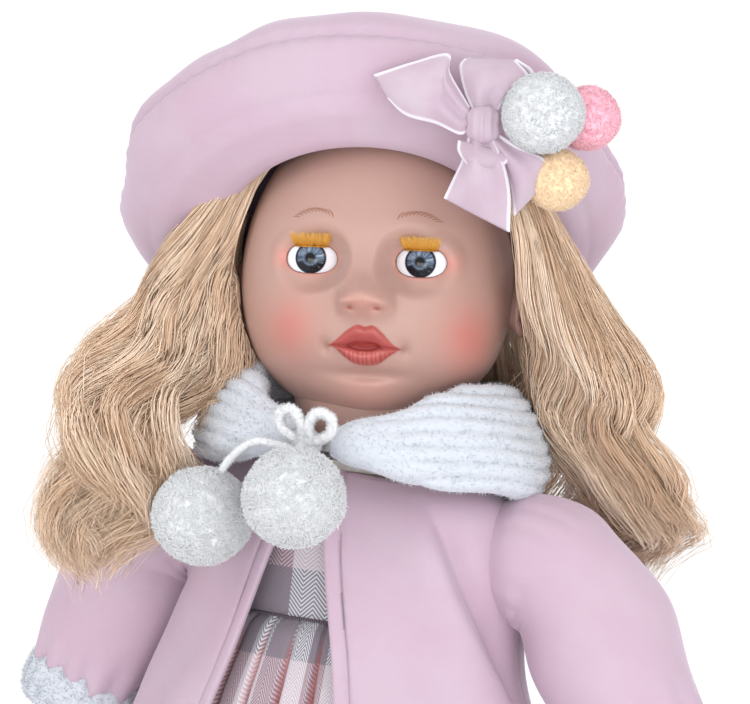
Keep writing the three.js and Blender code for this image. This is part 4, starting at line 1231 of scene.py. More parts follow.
BOW_FLAPS = {
    # CAD nodes it stands for, left edge, right edge, puff, pleats, depth of the pleats, rows
    "bow_side_tail": (
        ["bow_side_tail"],
        [(-5, 0.2, 5.4), (-12, -0.4, 16.5), (-12.8, -0.2, 22.4), (-24, 1.6, 19.6), (-37, 3.4, 15.2)],
        [(-5, 0.2, -1.4), (-7.6, -0.6, -3.2), (-15.5, 0, 0), (-25.6, 1.6, 2.6), (-32, 2.6, 8)],
        *(2.2, 2.0, 1.3, 46),
    ),
    "bow_upper_loop": (
        ["bow_upper_loop"],
        [(-3.6, 0.5, 4.6), (-6.6, 0.4, 11), (-8.6, 2.2, 18.6), (-7.2, 4.2, 21.6)],
        [(4.4, 0.5, 4.8), (8.2, 0, 10), (13.8, 1.8, 15.4), (9, 4.2, 21.4)],
        *(4.4, 1.6, 1.7, 46),
    ),
    "bow_upper_loop_back": (
        [],
        [(-3, 2, 4.6), (-5.4, 3.6, 12), (-7.4, 4.6, 19), (-6, 4.6, 22)],
        [(4, 2, 4.8), (7, 3.8, 11), (14.8, 4.4, 17.2), (9.4, 4.6, 21.9)],
        *(-0.8, 1.5, 0.8, 46),
    ),
    "bow_lower_tail": (
        ["bow_lower_loops"],
        [(-4.6, 0.4, -4), (-6.4, -0.6, -12), (-9, 0.4, -18), (-11.8, 1.6, -24.4)],
        [(3.6, 0.4, -5), (7, -1.6, -12), (9.6, -2, -22), (9.8, -0.4, -34.6)],
        *(2.8, 1.6, 1.8, 46),
    ),
    "bow_lower_loop": (
        [],
        [(1.6, 1.2, -4.6), (6.4, 0.6, -12), (9.8, 0.8, -20), (11.2, 2.6, -29)],
        [(5.2, 1.2, -3.4), (12, 0.4, -7.2), (20.8, 2, -11.4), (19.4, 3.4, -19.5)],
        *(3.4, 1.4, 1.7, 46),
    ),
    "bow_knot_band": (
        [],
        [(-7.6, -1.6, -5.6), (-7.4, -2.4, -9), (-4.4, -2.2, -13), (0, -1.6, -14.8)],
        [(10.2, -1.6, -9.8), (9.4, -2.4, -11), (6.2, -2.2, -13.6), (1, -1.6, -14.8)],
        *(2.2, 0.5, 0.2, 30),
    ),
}


def make_bow():
    for name, settings in BOW_FLAPS.items():
        flap(name, *settings)
    polar = np.linspace(0.05, math.pi - 0.05, 50)[:, None]
    around = circle(96)[None, :]
    knot = np.stack(
        [
            6.6 * np.sin(polar) * np.cos(around),
            3.6 * np.sin(polar) * np.sin(around),
            6.4 * np.cos(polar) + 0 * around,
        ],
        -1,
    )
    waist = 1 - 0.2 * bell(knot[..., 2], 2.6)
    knot[..., 0] *= waist
    knot[..., 1] *= 1 + 0.1 * np.cos(knot[..., 0] * 2.3 + 0.5)
    points, faces, uv = loft(knot[::-1])
    put(
        "bow_knot_wrap",
        points + BOW_KNOT,
        faces,
        RIBBON,
        "head",
        "ribbon",
        "bow_knot",
        placed=in_head,
        uv=uv,
        values={"selvedge": np.zeros(len(points))},
    )


make_bow()

HAT_POMPOMS = {
    # place from the knot, radius, finish, tufts, fibres in a tuft, slot
    "white": ([19.5, -3, 4], 13.2, WHITE_PLUSH, 2200, 5, "plush"),
    "rose": ([32.6, 14, 4.4], 10.8, ROSE_PLUSH, 1500, 4, "rose_plush"),
    "beige": ([24, 8, -16.6], 10.3, BEIGE_PLUSH, 1500, 4, "beige_plush"),
}
for name, (offset, *looks, slot) in HAT_POMPOMS.items():
    pompom(f"hat_pompom_{name}", BOW_KNOT + offset, *looks, in_head, "head", slot, thick=0.13, shag=0.1)


# ---------------------------------------------------------------- hair
HAIR_TURN = math.radians(6)
HAIR_ROWS = {
    # z, half width, half depth, centre x, centre y
    "right": [
        (276, 9, 6, -74, -58),
        (284, 13, 8, -76, -58),
        (294, 21, 12, -74, -56),
        (310, 27, 16, -76, -50),
        (330, 31, 21, -78, -38),
        (350, 30, 25, -75, -22),
        (372, 24, 24, -69, -11),
        (392, 18, 18, -62, -13),
        (412, 11, 12, -53, -20),
        (426, 8, 11, -45, -24),
    ],
    "left": [
        (276, 8, 6, 78, 52),
        (284, 12, 8, 80, 52),
        (296, 20, 13, 82, 50),
        (314, 23, 17, 81, 45),
        (332, 26, 21, 80, 34),
        (350, 25, 25, 76, 19),
        (372, 21, 24, 69, 6),
        (392, 14, 18, 61, -8),
        (412, 9, 13, 53, -16),
        (424, 7, 11, 47, -18),
    ],
    "back": [
        (266, 34, 4, 0, 66),
        (274, 50, 5, 0, 67),
        (286, 70, 7, 0, 68),
        (310, 76, 8, 0, 68),
        (334, 76, 8, 0, 67),
        (350, 68, 7, 0, 64),
        (366, 58, 6, 0, 59),
        (382, 48, 5, 0, 54),
    ],
    # short locks that fill in beside the cheeks
    "right_temple": [
        (328, 11, 20, -60, -24),
        (350, 7, 17, -50, -18),
        (370, 5, 14, -49, -14),
        (390, 5, 13, -51, -10),
        (404, 5, 12, -49, -8),
    ],
    "left_temple": [
        (338, 7, 14, 57, 14),
        (350, 6, 14, 54, 16),
        (370, 6, 13, 53, 20),
        (390, 6, 12, 51, 22),
        (404, 5, 11, 48, 22),
    ],
}


def hair_finish():
    f = Finish("HoneyHair", specular_ior_level=0.5, anisotropic=0.4)
    streak = f.noise(f.scaled(f.place("UV"), (3.0, 0.06, 1)), 1.0, 2)
    tones = (
        (0.1, rgb(172, 138, 110)),
        (0.34, rgb(220, 188, 158)),
        (0.6, rgb(242, 216, 190)),
        (0.88, rgb(253, 238, 220)),
    )
    f.set("Base Color", f.ramp(f.weigh(f.value("tone"), 0.72, streak, 0.28), tones))
    f.set("Roughness", f.between(streak, 0.3, 0.7, 0.3, 0.44))
    return f.bump(f.noise(f.scaled(f.place("UV"), (6.0, 0.2, 1)), 1.0, 2), 0.03, 0.4).material


HAIR = hair_finish()


def lock_paths(name, count, steps):
    """Guide lines of a bunch of locks: they keep their places in it and wave together, most at the ends."""
    dice = np.random.default_rng(11 + list(HAIR_ROWS).index(name))
    rows = HAIR_ROWS[name]
    top, bottom = rows[-1][0], rows[0][0]
    spot = np.sqrt((np.arange(count) + 0.5) / count)
    turn = np.arange(count) * math.pi * (3 - math.sqrt(5)) + dice.normal(0, 0.1, count)
    place_u, place_v = spot * np.cos(turn), spot * np.sin(turn)
    end = bottom + dice.uniform(0, 1, count) ** 1.6 * (34 if name in ("right", "left") else 22)
    t = np.linspace(0, 1, steps)[None, :]
    z = top + (end[:, None] - top) * t
    row = smooth_rows(rows, z)
    half_w, half_d, cx, cy = (row[..., k] for k in range(4))
    growth = smooth(t, 0.22, 0.62)
    amplitude = growth * (7.4 if name in ("right", "left") else 3.2)
    length = top - z
    in_bunch = np.stack([place_u, place_v, 0 * place_u], -1) * 30
    phase = length * 2 * math.pi / 52 + 2.4 * ripple(in_bunch, 60, 9)[:, None]
    phase = phase + dice.normal(0, 0.55, count)[:, None] + (0.0 if name == "right" else 1.3)
    reach = 0.86 - 0.2 * growth
    x = cx + half_w * reach * place_u[:, None] + amplitude * np.cos(phase)
    wrapped = 24 * place_u[:, None] ** 2 if name == "back" else 0
    depth = 0.5 if name == "back" else 0.75
    y = cy - wrapped + half_d * reach * place_v[:, None] + depth * amplitude * np.sin(phase)
    last = np.clip((t - 0.7) / 0.3, 0, 1)
    size = dice.uniform(2.0, 5.4, count)[:, None] * smooth(last, 0, 0.35) * (0 if "temple" in name else 1)
    turn = 2 * math.pi * dice.uniform(0.9, 1.5, count)[:, None] * last + phase[:, -1:]
    x = x + size * (np.cos(turn) - np.cos(phase[:, -1:]))
    z = z + size * (np.sin(turn) - np.sin(phase[:, -1:]))
    return np.stack([x, y, z], -1), phase


def clear_of_head(paths):
    """Pushes hair out of the head, the ears and the neck."""
    points = out_of_head(in_doll(paths))
    away = points - [0, 2, 388.0]
    radii = np.where(away[..., 2:] < 0, [50.5, 54.0, 51.0], [52.5, 54.5, 64.0])
    middle = points - away
    size = np.linalg.norm(away / radii, axis=-1, keepdims=True)
    points = np.where(size < 1, middle + away / np.maximum(size, 1e-3), points)
    for _, side in SIDES:
        ear = np.array([side * 48, 8, 383.0])
        away = points - ear
        size = np.linalg.norm(away / [7.5, 10, 13], axis=-1, keepdims=True)
        points = np.where(size < 1, ear + away / np.maximum(size, 1e-3), points)
    world = in_head(points) - ORIGIN
    low = smooth(-world[..., 2], -352, -340)
    across = np.hypot(world[..., 0], world[..., 1])
    wanted = np.maximum(across, 60 * low)
    world[..., :2] *= (wanted / np.maximum(across, 1e-3))[..., None]
    return world


def turned(points):
    c, s = math.cos(HAIR_TURN), math.sin(HAIR_TURN)
    x, y, z = (points[..., k] for k in range(3))
    return np.stack([x * c - y * s, x * s + y * c, z], -1)


def clear_of_pompoms(points):
    reach = POMPOM_R + 2.5
    for centre in POMPOMS.values():
        away = points - centre
        size = np.linalg.norm(away, axis=-1, keepdims=True)
        points = np.where(size < reach, centre + away / size * reach, points)
    return points


def make_hair(name, locks, per_lock, pieces):
    steps = 25
    dice = np.random.default_rng(21 + list(HAIR_ROWS).index(name))
    guides, phase = lock_paths(name, locks, steps)
    t = np.linspace(0, 1, steps)
    fat = (1.1 + 3.9 * smooth(t, 0, 0.4)) * (1 - 0.55 * smooth(t, 0.72, 1.0))
    all_paths, all_tones = [], []
    for i in range(locks):
        tangent = unit(np.gradient(guides[i], axis=0))
        first = unit(np.cross(tangent, [0.2, 1.0, 0.1]))
        second = np.cross(tangent, first)
        rho = np.sqrt(dice.uniform(0, 1, per_lock))[:, None]
        theta = dice.uniform(0, 2 * math.pi, per_lock)[:, None] + phase[i][None] * 0.45
        loose = 1 + 0.25 * dice.normal(0, 1, (per_lock, 1)) * smooth(t, 0.3, 1.0)[None]
        spread_out = rho * fat[None] * loose
        stray = np.where(dice.uniform(0, 1, (per_lock, 1, 1)) < 0.07, 3.2, 1.0)
        wisp = stray * dice.normal(0, 1, (per_lock, 1, 3)) * (0.2 + 1.0 * smooth(t, 0.4, 1.0))[None, :, None]
        wave_phase = dice.uniform(0, 2 * math.pi, (per_lock, 1))
        frizz = 0.35 * np.sin(t[None] * 40 + wave_phase)
        paths = (
            guides[i][None]
            + (spread_out * np.cos(theta))[..., None] * first[None]
            + (spread_out * np.sin(theta) + frizz)[..., None] * second[None]
            + wisp
        )
        keep = dice.uniform(0.8, 1.0, per_lock)
        grown = np.linspace(0, 1, steps)[None, :] * keep[:, None]
        low = np.clip((grown * (steps - 1)).astype(int), 0, steps - 2)
        part = (grown * (steps - 1) - low)[..., None]
        line = np.arange(per_lock)[:, None]
        paths = paths[line, low] * (1 - part) + paths[line, low + 1] * part
        all_paths.append(paths)
        tone = 0.5 + 0.15 * dice.normal()
        # random tone per strand, and painted shade: strands near the core of a lock are darker
        tone = tone + dice.normal(0, 0.15, per_lock) - 0.12 * (1 - rho[:, 0])
        all_tones.append(np.clip(tone, 0.02, 0.98))
    paths = np.concatenate(all_paths)
    tones = np.concatenate(all_tones)
    paths = clear_of_pompoms(clear_of_head(turned(paths)))
    order = dice.permutation(len(paths))
    for k, chosen in enumerate(np.array_split(order, pieces)):
        taper = 0.158 * (1 - 0.55 * smooth(t, 0.75, 1.0)) * (0.75 + 0.25 * smooth(t, 0, 0.1))
        points, faces = strands(paths[chosen], taper[None])
        count = len(chosen)
        uv = np.column_stack(
            [np.repeat(np.arange(count) * 1.7, steps * 3), np.tile(np.repeat(t * 150, 3), count)]
        )
        tone = np.repeat(tones[chosen], steps * 3)
        hair = piece(f"hair_{name}_{k + 1}", in_doll(points), faces, HAIR, uv=uv, values={"tone": tone})
        settle_hair(hair)
        if k == 0 and "temple" not in name:
            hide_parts(f"hair_{name}")
    heart = clear_of_pompoms(clear_of_head(turned(guides)))
    kept = round(0.72 * steps)
    thin = 0.5 * fat[:kept] * np.linspace(1, 0.45, kept)
    hearts = [loft(tube(heart[i][:kept], thin, 8)) for i in range(0, locks, 2)]
    points, faces = merged(*hearts)
    uv = np.vstack([uv for _, _, uv in hearts])
    # painted shade: the hearts inside the locks are dark
    tone = {"tone": np.full(len(points), 0.3)}
    settle_hair(piece(f"hair_{name}_inner", in_doll(points), faces, HAIR, uv=uv, values=tone))


def settle_hair(hair):
    """Bakes the hair piece's placement into its points."""
    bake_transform(hair)


make_hair("right", 56, 102, 5)
make_hair("left", 46, 96, 4)
make_hair("back", 56, 54, 3)
make_hair("right_temple", 18, 48, 1)
make_hair("left_temple", 14, 48, 1)


# ---------------------------------------------------------------- coat
COAT_TOP_Z = 322
COAT_HEM_Z = 150
COAT_ROWS = [
    (COAT_HEM_Z, 96, 80),
    (180, 88, 71),
    (215, 77.5, 61),
    (240, 68.5, 53),
    (262, 61.4, 47.4),
    (276, 59.6, 45.4),
    (296, 59.4, 42.4),
    (304, 58.8, 39.8),
    (312, 56, 36.6),
    (318, 50, 32.6),
    (COAT_TOP_Z, 42, 29),
]


def open_shell(outer, thick):
    """A cloth of even thickness from a grid of its outer face, closed along its edges, with UVs in mm."""
    inner = outer - surface_normals(outer, False) * thick
    points, faces, uv = loft(np.concatenate([outer, inner[:, ::-1]], axis=1), False, False)
    columns = 2 * outer.shape[1]
    near = np.arange(columns // 2 - 1)
    far = columns - 1 - near
    faces.append(np.column_stack([near + 1, near, far, far - 1]))
    faces.append(len(points) - columns + np.column_stack([near, near + 1, far - 1, far]))
    return points, faces, np.vstack([uv, np.zeros((8 * len(near), 2))])


def ring_shell(outer, thick, flip):
    """The same for a grid whose columns close on themselves: points, faces, and the rows and columns."""
    normal = surface_normals(outer, True) * (-1 if flip else 1)
    rows = np.concatenate([outer, (outer - normal * thick)[::-1]], axis=0)
    rows = rows[:, ::-1] if flip else rows
    count, columns = rows.shape[:2]
    ring = np.arange(columns)
    last = (count - 1) * columns
    closing = np.column_stack([last + ring, last + (ring + 1) % columns, (ring + 1) % columns, ring])
    return rows.reshape(-1, 3), [grid_faces(count, columns, wrap=True), closing], (count, columns)


def make_coat():
    z = np.linspace(COAT_TOP_Z, COAT_HEM_Z, 112)[:, None]
    rows = smooth_rows(COAT_ROWS, z[:, 0])
    rx, ry = rows[:, 0][:, None], rows[:, 1][:, None]
    drop = COAT_TOP_Z - z
    from_left = -np.arccos(np.clip((-2 + 0.25 * drop) / rx, -1, 1))
    from_right = 2 * math.pi - np.arccos(np.clip((-8 - 0.235 * drop) / rx, -1, 1))
    s = np.linspace(0, 1, 310)[None, :]
    angle = from_left + s * (from_right - from_left)
    cloth = np.stack([rx * np.cos(angle), ry * np.sin(angle), z + 0 * angle], -1)
    around = s * (from_right - from_left) * (rx + ry) / 2
    whole = around[:, -1:]
    from_edge = np.minimum(around, whole - around)
    from_hem = z - COAT_HEM_Z
    flare = smooth(drop, 46, 165)
    folds = 3.8 * flare * np.cos(angle * 7 + 0.9 + 0.5 * np.sin(angle * 2)) * smooth(from_edge, 2, 26)
    folds += 1.5 * flare * ripple(cloth * [1, 1, 0.3], 46, 31)
    creases = 1.25 * ripple(cloth * [1, 1, 0.55], 42, 32) * smooth(from_edge, 1, 16)
    drag = 0
    for slant, depth in ((1, 5.0), (-1, 2.4)):
        away = slant * cloth[..., 0] - 33 - 0.47 * (310 - z)
        ridge = np.where(away < 0, bell(away, 10), bell(away, 2.4))
        valley = 0.8 * bell(away - 6, 4.5)
        fades = smooth(-cloth[..., 1], 2, 16) * smooth(drop, 6, 26) * smooth(-drop, -110, -70)
        drag = drag + depth * (ridge - valley) * fades
    facing = 1.0 * np.exp(-((from_edge / 3.4) ** 6)) - 0.9 * bell(from_edge - 4.4, 0.7)
    hem = 0.4 * np.exp(-((from_hem / 1.6) ** 4)) - 0.45 * bell(from_hem - 12, 0.55)
    side_seam = -0.55 * bell(np.sin(angle) * (rx + ry) / 2, 0.6)
    out = surface_normals(cloth, False)
    out *= np.sign((out * cloth).sum(-1).mean())
    cloth = cloth + out * (folds + creases + drag + facing + hem + side_seam)[..., None]
    cloth[..., 2] += 0.8 * ripple(cloth[..., :2][..., [0, 1, 1]] * [1, 1, 0], 60, 33) * flare
    points, faces, uv = open_shell(cloth, 1.8)
    nodes = "coat_left_front", "coat_right_front", "coat_back"
    made = put("coat", points, faces, VELOUR, "torso", "velour", *nodes, uv=uv)


make_coat()

# ---------------------------------------------------------------- sleeves
SHOULDER = np.array([60.4, 0, 300.0])
SIDEWAYS = np.array([0.0, 1.0, 0.0])
BEND_R = 24.0
ARM_DROP = {"left": math.radians(55), "right": math.radians(72)}
SLEEVE_RADII = [
    # mm from the shoulder, radius
    (-14, 15.5),
    (-6, 18.6),
    (0, 21.2),
    (12, 22.2),
    (26, 22.8),
    (45, 23.4),
    (65, 22.2),
    (78, 19.3),
    (90, 18.2),
]


def arm_frame(s, drop):
    """Centre and upward direction of the arm at s mm from the shoulder."""
    arc = BEND_R * drop
    bend = np.clip(s, 0, arc) / BEND_R
    straight = np.clip(s - arc, 0, None)
    x = SHOULDER[0] + np.minimum(s, 0) + BEND_R * np.sin(bend) + straight * math.cos(drop)
    z = SHOULDER[2] - BEND_R * (1 - np.cos(bend)) - straight * math.sin(drop)
    return np.stack([x, 0 * x, z], -1), np.stack([np.sin(bend), 0 * bend, np.cos(bend)], -1)


def arm_rings(s, radius, drop, angle, thin=1.0):
    """Rings round the arm; thin flattens them from above and below."""
    centre, up = arm_frame(s, drop)
    rings = centre[:, None] + (radius * np.cos(angle))[..., None] * SIDEWAYS
    return rings + (radius * np.sin(angle) * thin)[..., None] * up[:, None]


def make_sleeve(name, side):
    drop = ARM_DROP[name]
    s = np.linspace(-14, 90, 96)
    angle = circle(128)[None, :]
    radius = smooth_rows(SLEEVE_RADII, s)[:, :1] + 0 * angle
    row = s[:, None]
    seed = 41 if side > 0 else 47
    at = arm_rings(s, radius, drop, angle)
    radius = radius + 1.4 * ripple(at * [1, 1, 0.6], 36, seed) * smooth(row, 2, 16)
    radius += 0.25 * np.sin(angle * 16 + np.sin(angle * 3)) * bell(row - 5, 7)
    wrinkles = 0.9 * np.sin(row / 5.2 + 1.4 * np.cos(angle)) * bell(row - 24, 14)
    radius += wrinkles * smooth(-np.sin(angle), -0.4, 0.8)
    radius += 0.9 * np.sin(angle * 12 + 1.2 * np.sin(angle * 2)) * bell(row - 76, 9)
    grid = arm_rings(s, radius, drop, angle)
    grid[..., 0] *= side
    points, faces, _ = ring_shell(grid, 1.6, side > 0)
    put(f"{name}_sleeve_cloth", points, faces, VELOUR, f"{name}_arm", "velour", f"{name}_sleeve")
    t = circle(40)[:, None]
    ribs = 1 + 0.05 * np.cos(t * 9)
    along_cuff = 83 + 8.8 * np.cos(t)[:, 0] * ribs[:, 0]
    cuff_r = 19.4 + 3.0 * np.sin(t) * ribs + 0.3 * np.sin(angle * 22)
    cuff = arm_rings(along_cuff, cuff_r, drop, angle)
    cuff[..., 0] *= side
    rows, columns = cuff.shape[:2]
    cuff = np.concatenate([cuff, cuff[:1]])
    if side > 0:
        cuff = cuff[:, ::-1]
    faces = [grid_faces(rows + 1, columns, wrap=True)]
    points = cuff.reshape(-1, 3)
    # painted shade: the cuff under its pile is set darker
    tip = {"tip": np.full(len(points), 0.6)}
    band = put(f"{name}_cuff", points, faces, COLLAR_PLUSH, f"{name}_arm", "plush", values=tip)
    fuzz(f"{name}_cuff_pile", points, faces, 8000, 1.5, COLLAR_PLUSH, f"{name}_arm", "plush", 0.12)


for side_name, side in SIDES:
    make_sleeve(side_name, side)


# ---------------------------------------------------------------- plush collar
def make_collar(name, side):
    """Half of the collar, from the knot to the centre back, in ribbed plush that leans on the shoulders."""
    share = np.linspace(0, 1, 150)[:, None]
    t = circle(132)[None, :]
    a = np.radians(-83 + 172.6 * share)
    full = np.minimum(1, 0.32 + 2.1 * share)
    full = full * (1 - 0.25 * bell(share, 0.02))
    radius = 51 - 1.4 * share
    long = 19.6 * full
    thick = 7.8 * np.minimum(1, 0.6 + 1.2 * share)
    out = np.stack([np.cos(a), np.sin(a), 0 * a], -1)
    centre = out * radius[..., None]
    centre[..., 2] = 333 + 6.4 * np.minimum(1, share * 2.6)
    down = unit(out * 0.43 + np.array([0, 0, -0.9]))
    normal = unit(out * 0.9 + np.array([0, 0, 0.43]))
    square = np.abs(np.cos(t)) ** 0.86 * np.sign(np.cos(t))
    place_down = square * long
    waves = np.abs(np.sin(math.pi * (place_down + 2 * np.sin(share * 9)) / 5.2)) ** 0.7
    ribs = 1.7 * (waves - 0.6) * smooth(full, 0.3, 0.9)
    unrolled = np.stack([share * 150 + 0 * t, 20 * np.cos(t) + 0 * share, 10 * np.sin(t) + 0 * share], -1)
    rise = ribs + ripple(unrolled, 34, 51) * smooth(share, 0.02, 0.15)
    grid = centre + down * place_down[..., None] - normal * (thick * np.sin(t))[..., None]
    outward = unit(down * (np.cos(t) * thick)[..., None] - normal * (np.sin(t) * long)[..., None])
    grid = grid + outward * rise[..., None]
    grid[..., 0] *= side
    points, faces, uv = loft(grid if side > 0 else grid[:, ::-1])
    # painted shade: the collar under its pile is set darker
    looks = {"uv": uv, "values": {"tip": np.full(len(points), 0.62)}}
    node = f"collar_{name}"
    collar = put(f"{node}_plush", points, faces, COLLAR_PLUSH, "torso", "plush", node, **looks)
    fuzz(f"collar_{name}_pile", points, faces, 11500, 1.0, COLLAR_PLUSH, "torso", "plush", 0.12)


for side_name, side in SIDES:
    make_collar(side_name, side)

# ---------------------------------------------------------------- dress
WAIST_Z = 272
DRESS_HEM_Z = 118


def check_finish():
    """Wool check: wide weft and warp stripes in a fine herringbone twill, with painted shade inside the pleats;
    the UVs are in mm.
    """
    f = Finish("CheckCloth", roughness=0.9, sheen_weight=0.2, sheen_roughness=0.5, specular_ior_level=0.2)
    u, v, _ = f.parts(f.place("UV"))
    grey, white, pink = rgb(132, 122, 133), rgb(206, 210, 217), rgb(199, 173, 181)
    warp = stripes(f, u, 36, [(0, grey), (18, white)])
    weft = stripes(f, v, 66, [(0, grey), (19, pink), (44, white)])
    zigzag = f.math("ADD", f.math("PINGPONG", u, 4.5), v)
    twill = f.thread(zigzag, 1.5)
    colour = f.mix(f.between(twill, 0.3, 0.7), warp, weft)
    fine = f.noise(f.place("UV"), 2.2, 2)
    colour = f.mix(f.math("MULTIPLY", fine, 0.35), colour, f.mix(0.5, colour, rgb(120, 110, 118)))
    # painted shade: the insides of the pleats, marked by deep, are darkened to a reddish brown
    f.set("Base Color", f.mix(f.math("MULTIPLY", f.value("deep"), 0.8), colour, rgb(168, 92, 86)))
    threads = f.weigh(twill, 0.7, f.noise(f.place("UV"), 5, 2), 0.3)
    return f.bump(threads, 0.12, 0.7).material


def stripes(f, coordinate, period, bands):
    """Colour bands that repeat; bands are (start in mm, colour)."""
    share = f.math("DIVIDE", f.math("FLOORED_MODULO", coordinate, period), period)
    return f.ramp(share, [(start / period, colour) for start, colour in bands], "CONSTANT")


CHECK_CLOTH = check_finish()


def thread_finish():
    f = Finish("SeamThread", roughness=0.8, specular_ior_level=0.2)
    _, run, _ = f.parts(f.place("UV"))
    twist = f.thread(run, 0.8)
    # painted shade and light: the twist's grooves dark, its crowns lighter
    f.set("Base Color", f.mix(twist, rgb(44, 38, 46), rgb(112, 100, 112)))
    return f.bump(twist, 0.1, 0.6).material


SEAM_THREAD = thread_finish()
BODICE_ROWS = [
    (WAIST_Z, 48, 36),
    (284, 49.4, 36),
    (297, 50, 35.5),
    (309, 47, 33),
    (317, 38, 28),
    (321, 29.6, 25.6),
]
SKIRT_ROWS = [
    (DRESS_HEM_Z, 88, 72),
    (160, 79, 64.5),
    (200, 69, 56.5),
    (244, 59, 46.5),
    (262, 52.5, 40.5),
    (WAIST_Z, 48.4, 36.4),
]


def garment(name, grid, thick, uv_shift, node, deep=None, upright=1):
    """A closed ring of check cloth with UVs in mm that follow its threads; deep marks the pleats' insides for
    painted shade.
    """
    points, faces, (rows, columns) = ring_shell(grid, thick, True)
    steps = np.linalg.norm(np.diff(grid[-1], axis=0, append=grid[-1][:1]), axis=1)
    around = np.concatenate([[0], np.cumsum(steps)])
    height = uv_shift[1] - grid[..., 2]
    height = np.concatenate([height, height[::-1]])
    uv = []
    for quads in faces:
        row, column = np.divmod(quads, columns)
        seam = (column == 0) & (column.max(axis=1, keepdims=True) == columns - 1)
        column = columns - np.where(seam, columns, column)
        u, v = around[column] + uv_shift[0], upright * height[row % rows, 0]
        uv.append(np.stack([u, v], -1).reshape(-1, 2))
    deep = np.zeros(grid.shape[:2]) if deep is None else deep
    deep = np.concatenate([deep, deep[::-1]])[:, ::-1]
    looks = {"uv": np.vstack(uv), "values": {"deep": deep.ravel()}}
    return put(name, points, faces, CHECK_CLOTH, "torso", "check_cloth", node, **looks)


def make_dress():
    z = np.linspace(321, WAIST_Z, 60)
    rows = smooth_rows(BODICE_ROWS, z)
    angle = circle(220)[None, :]
    rx, ry = rows[:, :1], rows[:, 1:2]
    grid = np.stack([rx * np.cos(angle), ry * np.sin(angle), z[:, None] + 0 * angle], -1)
    grid *= (1 + 0.006 * ripple(grid, 40, 61))[..., None] ** np.array([1, 1, 0])
    garment("dress_bodice_cloth", grid, 0.9, (7, 270), "dress_bodice", upright=-1)
    pleats = 30
    z = np.linspace(WAIST_Z + 1, DRESS_HEM_Z, 90)
    rows = smooth_rows(SKIRT_ROWS, z)
    angle = circle(pleats * 16)[None, :]
    rx, ry = rows[:, :1], rows[:, 1:2]
    phase = angle * pleats / (2 * math.pi) % 1
    down = (WAIST_Z - z)[:, None]
    half_face = 0.42 - 0.14 * smooth(down, 0, 100)
    box = smooth(np.abs(phase - 0.5) - half_face, 0, 0.07)
    lean = (phase - 0.5) * 0.9 * (1 - box)
    deep = 1.6 + 4.6 * smooth(down, 0, 50)
    wander = 1.4 * smooth(down, 10, 120) * np.sin(angle * 5 + 1)
    offset = -deep * box + lean * 1.4 + wander - 2.2 * bell(down, 2.0)
    x, y = (rx + offset) * np.cos(angle), (ry + offset) * np.sin(angle)
    grid = np.stack([x, y, z[:, None] + 0 * angle], -1)
    # painted shade mask: the insides of the pleats below the waist
    inside = box * smooth(down, 1, 14)
    skirt = garment("dress_skirt_cloth", grid, 0.8, (0, WAIST_Z + 6), "dress_skirt", deep=inside)
    path = np.stack([49.2 * np.cos(angle[0]), 37.2 * np.sin(angle[0]), WAIST_Z + 0.6 + 0 * angle[0]], -1)[::3]
    path = np.vstack([path, path[:1]])
    points, faces, uv = loft(tube(path, 0.5, 8))
    put("waist_piping", points, faces, SEAM_THREAD, "torso", "check_cloth", uv=uv)


make_dress()


# ---------------------------------------------------------------- arms, legs, socks and shoes
def settled(made):
    """Applies the modifiers of a piece."""
    finish = made.data.materials[0]
    mesh = bpy.data.meshes.new_from_object(made.evaluated_get(bpy.context.evaluated_depsgraph_get()))
    made.modifiers.clear()
    made.data = mesh
    if not mesh.materials:
        mesh.materials.append(finish)
    mesh.shade_smooth()
    return made


def fused(made, voxel_mm, rounds):
    """Joins the overlapping bodies of a piece into one skin and rounds off the joins."""
    fuse = made.modifiers.new("fuse", "REMESH")
    fuse.mode = "VOXEL"
    fuse.voxel_size = voxel_mm * MM
    soften = made.modifiers.new("soften", "SMOOTH")
    soften.iterations = rounds
    return settled(made)


def stub(path, radii):
    """A closed tube with round ends; the radii are given at the points of the path."""
    path = np.asarray(path, float)
    rows = along(np.column_stack([path, radii]), 40)
    t = np.linspace(0, 1, 40)
    end = np.sqrt(np.clip(1 - (np.clip(np.abs(2 * t - 1) - 0.82, 0, None) / 0.182) ** 2, 0.0004, 1))
    return loft(tube(rows[:, :3], rows[:, 3] * end, 20, up=(0.2, 0.9, 0.3)))


ARM_RADII = [
    (-22, 5.8),
    (-4, 5.8),
    (4, 7.6),
    (8, 9.4),
    (16, 12.2),
    (30, 12.5),
    (48, 11.6),
    (54, 11.2),
    (70, 11.2),
    (84, 9.4),
    (91, 8.3),
    (97, 8.1),
    (104, 9.6),
    (110, 10.3),
    (115, 9.6),
    (118, 6.5),
    (119, 1),
]
FINGERS = [
    # across the palm, reach, thickness
    (-7.0, 10.5, 2.5),
    (-2.5, 13.0, 2.6),
    (2.2, 12.3, 2.5),
    (6.4, 9.6, 2.3),
]


